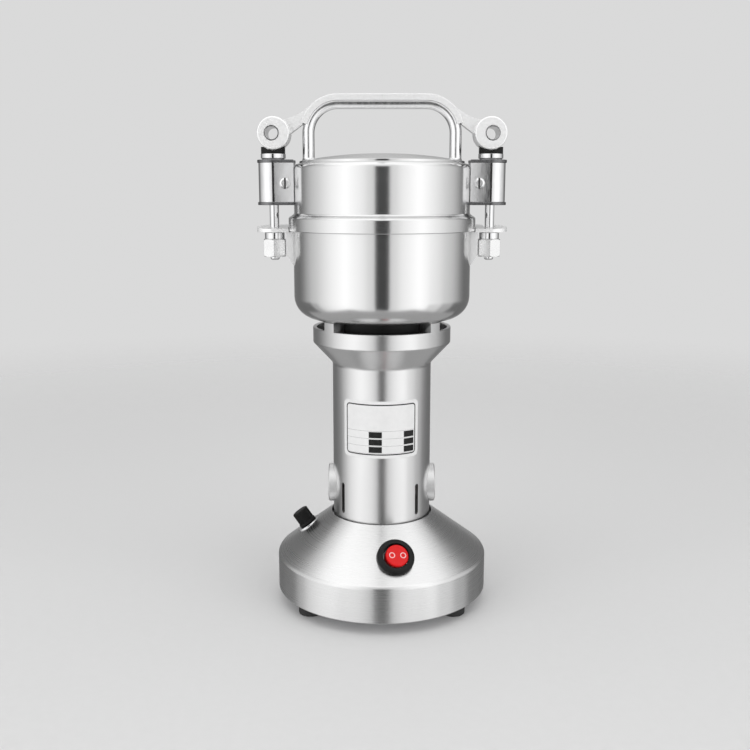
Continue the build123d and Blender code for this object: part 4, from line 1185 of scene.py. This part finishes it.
# %% Floor
floor_radius = 1.2
floor_sides = 96
floor_grain = (220, 220, 220)
fade_start = 0.3
fade_end = 1.1
bpy.ops.object.select_all(action="DESELECT")
bpy.ops.mesh.primitive_circle_add(vertices=floor_sides, radius=floor_radius, fill_type="NGON")
floor = bpy.context.object
floor.name = "floor"
floor.visible_glossy = False
floor_finish, tree, shader = blank_finish("pale_floor", metallic=0, roughness=0.6)
space = stretched_space(tree, floor_grain)
lay_grain(
    tree, shader, space, dark=grey(0.69), light=grey(0.705), smooth=0.5, rough=0.65,
    relief=0.01 * mm,
)
place = tree.nodes.new("ShaderNodeTexCoord")
distance = tree.nodes.new("ShaderNodeVectorMath")
distance.operation = "LENGTH"
tree.links.new(place.outputs["Object"], distance.inputs[0])
fade = tree.nodes.new("ShaderNodeMapRange")
fade.interpolation_type = "SMOOTHSTEP"
fade.inputs["From Min"].default_value = fade_start
fade.inputs["From Max"].default_value = fade_end
fade.inputs["To Min"].default_value = 1
fade.inputs["To Max"].default_value = 0
tree.links.new(distance.outputs["Value"], fade.inputs["Value"])
tree.links.new(fade.outputs["Result"], shader.inputs["Alpha"])
floor.data.materials.append(floor_finish)
print("floor fades out", fade_end, "m from the grinder")

# %% Surround
surround_tone = 0.7
surround_lighting = 0.9
surround = bpy.data.worlds.new("surround")
bpy.context.scene.world = surround
surround.use_nodes = True
tree = surround.node_tree
backdrop = tree.nodes["Background"]
backdrop.inputs["Color"].default_value = (*grey(surround_tone), 1)
path = tree.nodes.new("ShaderNodeLightPath")
seen = tree.nodes.new("ShaderNodeMath")
seen.operation = "MAXIMUM"
tree.links.new(path.outputs["Is Camera Ray"], seen.inputs[0])
tree.links.new(path.outputs["Is Glossy Ray"], seen.inputs[1])
seen_through = tree.nodes.new("ShaderNodeMath")
seen_through.operation = "MAXIMUM"
tree.links.new(seen.outputs["Value"], seen_through.inputs[0])
tree.links.new(path.outputs["Is Transmission Ray"], seen_through.inputs[1])
level = tree.nodes.new("ShaderNodeMapRange")
level.inputs["To Min"].default_value = surround_lighting
level.inputs["To Max"].default_value = 1
tree.links.new(seen_through.outputs["Value"], level.inputs["Value"])
tree.links.new(level.outputs["Result"], backdrop.inputs["Strength"])
print("surround ready")

# %% Softboxes
grinder_middle = Vector((0, 0, 0.15))


def softbox(name, place, width, height, radiance):
    """An area lamp that faces the middle of the grinder and that no reflection shows."""
    bpy.ops.object.select_all(action="DESELECT")
    bpy.ops.object.light_add(type="AREA", location=place)
    lamp = bpy.context.object
    lamp.name = name
    lamp.rotation_euler = (grinder_middle - Vector(place)).to_track_quat("-Z", "Y").to_euler()
    lamp.data.shape = "RECTANGLE"
    lamp.data.size = width
    lamp.data.size_y = height
    lamp.data.energy = radiance * math.pi * width * height
    lamp.visible_glossy = False


softbox("left_softbox", (-1.05, -0.85, 0.35), width=1.3, height=1.7, radiance=1.28)
softbox("right_softbox", (1.05, -0.85, 0.35), width=1.3, height=1.7, radiance=1.22)
softbox("top_softbox", (0, -0.1, 1.3), width=2.3, height=1.2, radiance=0.66)
print("three softboxes")

# %% Glowing cloth
def glowing(name, brightness):
    """A cloth with an even glow."""
    finish = bpy.data.materials.new(name)
    finish.use_nodes = True
    tree = finish.node_tree
    tree.nodes.remove(tree.nodes["Principled BSDF"])
    glow = tree.nodes.new("ShaderNodeEmission")
    glow.inputs["Strength"].default_value = brightness
    tree.links.new(glow.outputs["Emission"], tree.nodes["Material Output"].inputs["Surface"])
    return finish


dim_cloth = glowing("dim_cloth", 0.17)
grey_cloth = glowing("grey_cloth", 0.5)
pale_cloth = glowing("pale_cloth", 0.85)
print("three cloths")

# %% Curved walls
wall_steps = 96


def only_reflected(piece, finish):
    """Give a piece of the studio its finish and keep it out of sight, light and shadow."""
    piece.visible_camera = False
    piece.visible_diffuse = False
    piece.visible_shadow = False
    piece.data.materials.append(finish)


def wall(name, start, end, low, high, distance, finish):
    """A tall curved wall between two azimuths, in degrees from the front."""
    bpy.ops.object.select_all(action="DESELECT")
    bpy.ops.mesh.primitive_plane_add(size=mm, location=(0, -distance, low))
    piece = bpy.context.object
    piece.name = name
    bpy.ops.object.transform_apply(location=True)
    bpy.ops.object.mode_set(mode="EDIT")
    bpy.ops.mesh.merge(type="CENTER")
    bpy.ops.mesh.extrude_region_move(TRANSFORM_OT_translate={"value": (0, 0, high - low)})
    bpy.ops.mesh.select_all(action="SELECT")
    turn = math.radians(end - start)
    bpy.ops.mesh.spin(steps=wall_steps, angle=turn, center=(0, 0, 0), axis=(0, 0, -1))
    bpy.ops.mesh.select_all(action="SELECT")
    bpy.ops.mesh.remove_doubles(threshold=weld)
    bpy.ops.object.mode_set(mode="OBJECT")
    piece.data.transform(Matrix.Rotation(math.radians(start), 4, "Z"))
    only_reflected(piece, finish)


print("wall helper ready")

# %% Light tent
tent_distance = 4
tent_low = -3
half_turn = 0.5
tent_light = {
    0: 0.85, 17: 0.92, 24: 1.12, 48: 1.42, 70: 1.15, 88: 0.86, 104: 0.66, 114: 0.46,
    122: 0.28, 132: 0.18, 156: 0.18, 168: 0.36, 180: 0.45,
}
tent_peak = max(tent_light.values())
tent_cloth = bpy.data.materials.new("tent_cloth")
tent_cloth.use_nodes = True
tree = tent_cloth.node_tree
tree.nodes.remove(tree.nodes["Principled BSDF"])
place = tree.nodes.new("ShaderNodeTexCoord")
facing = tree.nodes.new("ShaderNodeMapping")
facing.inputs["Rotation"].default_value = (0, 0, math.pi / 2)
tree.links.new(place.outputs["Object"], facing.inputs["Vector"])
azimuth = tree.nodes.new("ShaderNodeTexGradient")
azimuth.gradient_type = "RADIAL"
tree.links.new(facing.outputs["Vector"], azimuth.inputs["Vector"])
folded = tree.nodes.new("ShaderNodeMath")
folded.operation = "PINGPONG"
folded.inputs[1].default_value = half_turn
tree.links.new(azimuth.outputs["Fac"], folded.inputs[0])
spread = tree.nodes.new("ShaderNodeMapRange")
spread.inputs["From Min"].default_value = half_turn
spread.inputs["From Max"].default_value = 0
tree.links.new(folded.outputs["Value"], spread.inputs["Value"])
shade = tree.nodes.new("ShaderNodeValToRGB")
shade.color_ramp.elements.remove(shade.color_ramp.elements[1])
for turn, brightness in tent_light.items():
    stop = shade.color_ramp.elements[0] if turn == 0 else shade.color_ramp.elements.new(turn / 180)
    stop.color = (*grey(brightness / tent_peak), 1)
tree.links.new(spread.outputs["Result"], shade.inputs["Fac"])
glow = tree.nodes.new("ShaderNodeEmission")
glow.inputs["Strength"].default_value = tent_peak
tree.links.new(shade.outputs["Color"], glow.inputs["Color"])
tree.links.new(glow.outputs["Emission"], tree.nodes["Material Output"].inputs["Surface"])
wall("light_tent", -164, 164, tent_low, high=5, distance=tent_distance, finish=tent_cloth)
wall("back_tent", 164, 196, tent_low, high=1.5, distance=tent_distance, finish=tent_cloth)
print("tent with", len(tent_light), "tones")

# %% Screen and skirts
skirt_low = -2.9
skirt_high = -0.6
skirt_distance = 3.8
skirts = [
    ("right_skirt", 106, 162, dim_cloth),
    ("left_skirt", -162, -106, dim_cloth),
    ("right_wing", 84, 106, grey_cloth),
    ("right_lapel", 62, 84, pale_cloth),
    ("left_wing", -106, -92, grey_cloth),
]
wall("front_screen", -9, 9, low=-2.6, high=1.6, distance=3.9, finish=black_rubber)
for name, start, end, cloth in skirts:
    wall(name, start, end, skirt_low, skirt_high, skirt_distance, cloth)
print("one screen and", len(skirts), "skirts")

# %% Cards
def card(name, place, width, depth, brightness):
    """A level card with an even glow."""
    bpy.ops.object.select_all(action="DESELECT")
    bpy.ops.mesh.primitive_plane_add(size=1, location=place)
    piece = bpy.context.object
    piece.name = name
    piece.scale = (width, depth, 1)
    bpy.ops.object.transform_apply(location=True, scale=True)
    only_reflected(piece, glowing(name, brightness))


ceiling_z = 1.3
card("table_card", (0, 0, -0.8), width=2.4, depth=2.4, brightness=0.4)
card("left_ceiling", (-0.595, -0.075, ceiling_z), width=1.11, depth=0.75, brightness=1.42)
card("right_ceiling", (0.595, -0.075, ceiling_z), width=1.11, depth=0.75, brightness=1.3)
card("back_ceiling", (0, 0.7, ceiling_z), width=2.3, depth=0.8, brightness=1)
card("front_ceiling", (0, -0.7, ceiling_z), width=2.3, depth=0.5, brightness=1.42)
print("five cards")

# %% [markdown]
# ## The colour view
# The colours are shown as written, without a film look.

# %% Finish
bpy.context.scene.view_settings.view_transform = "Standard"
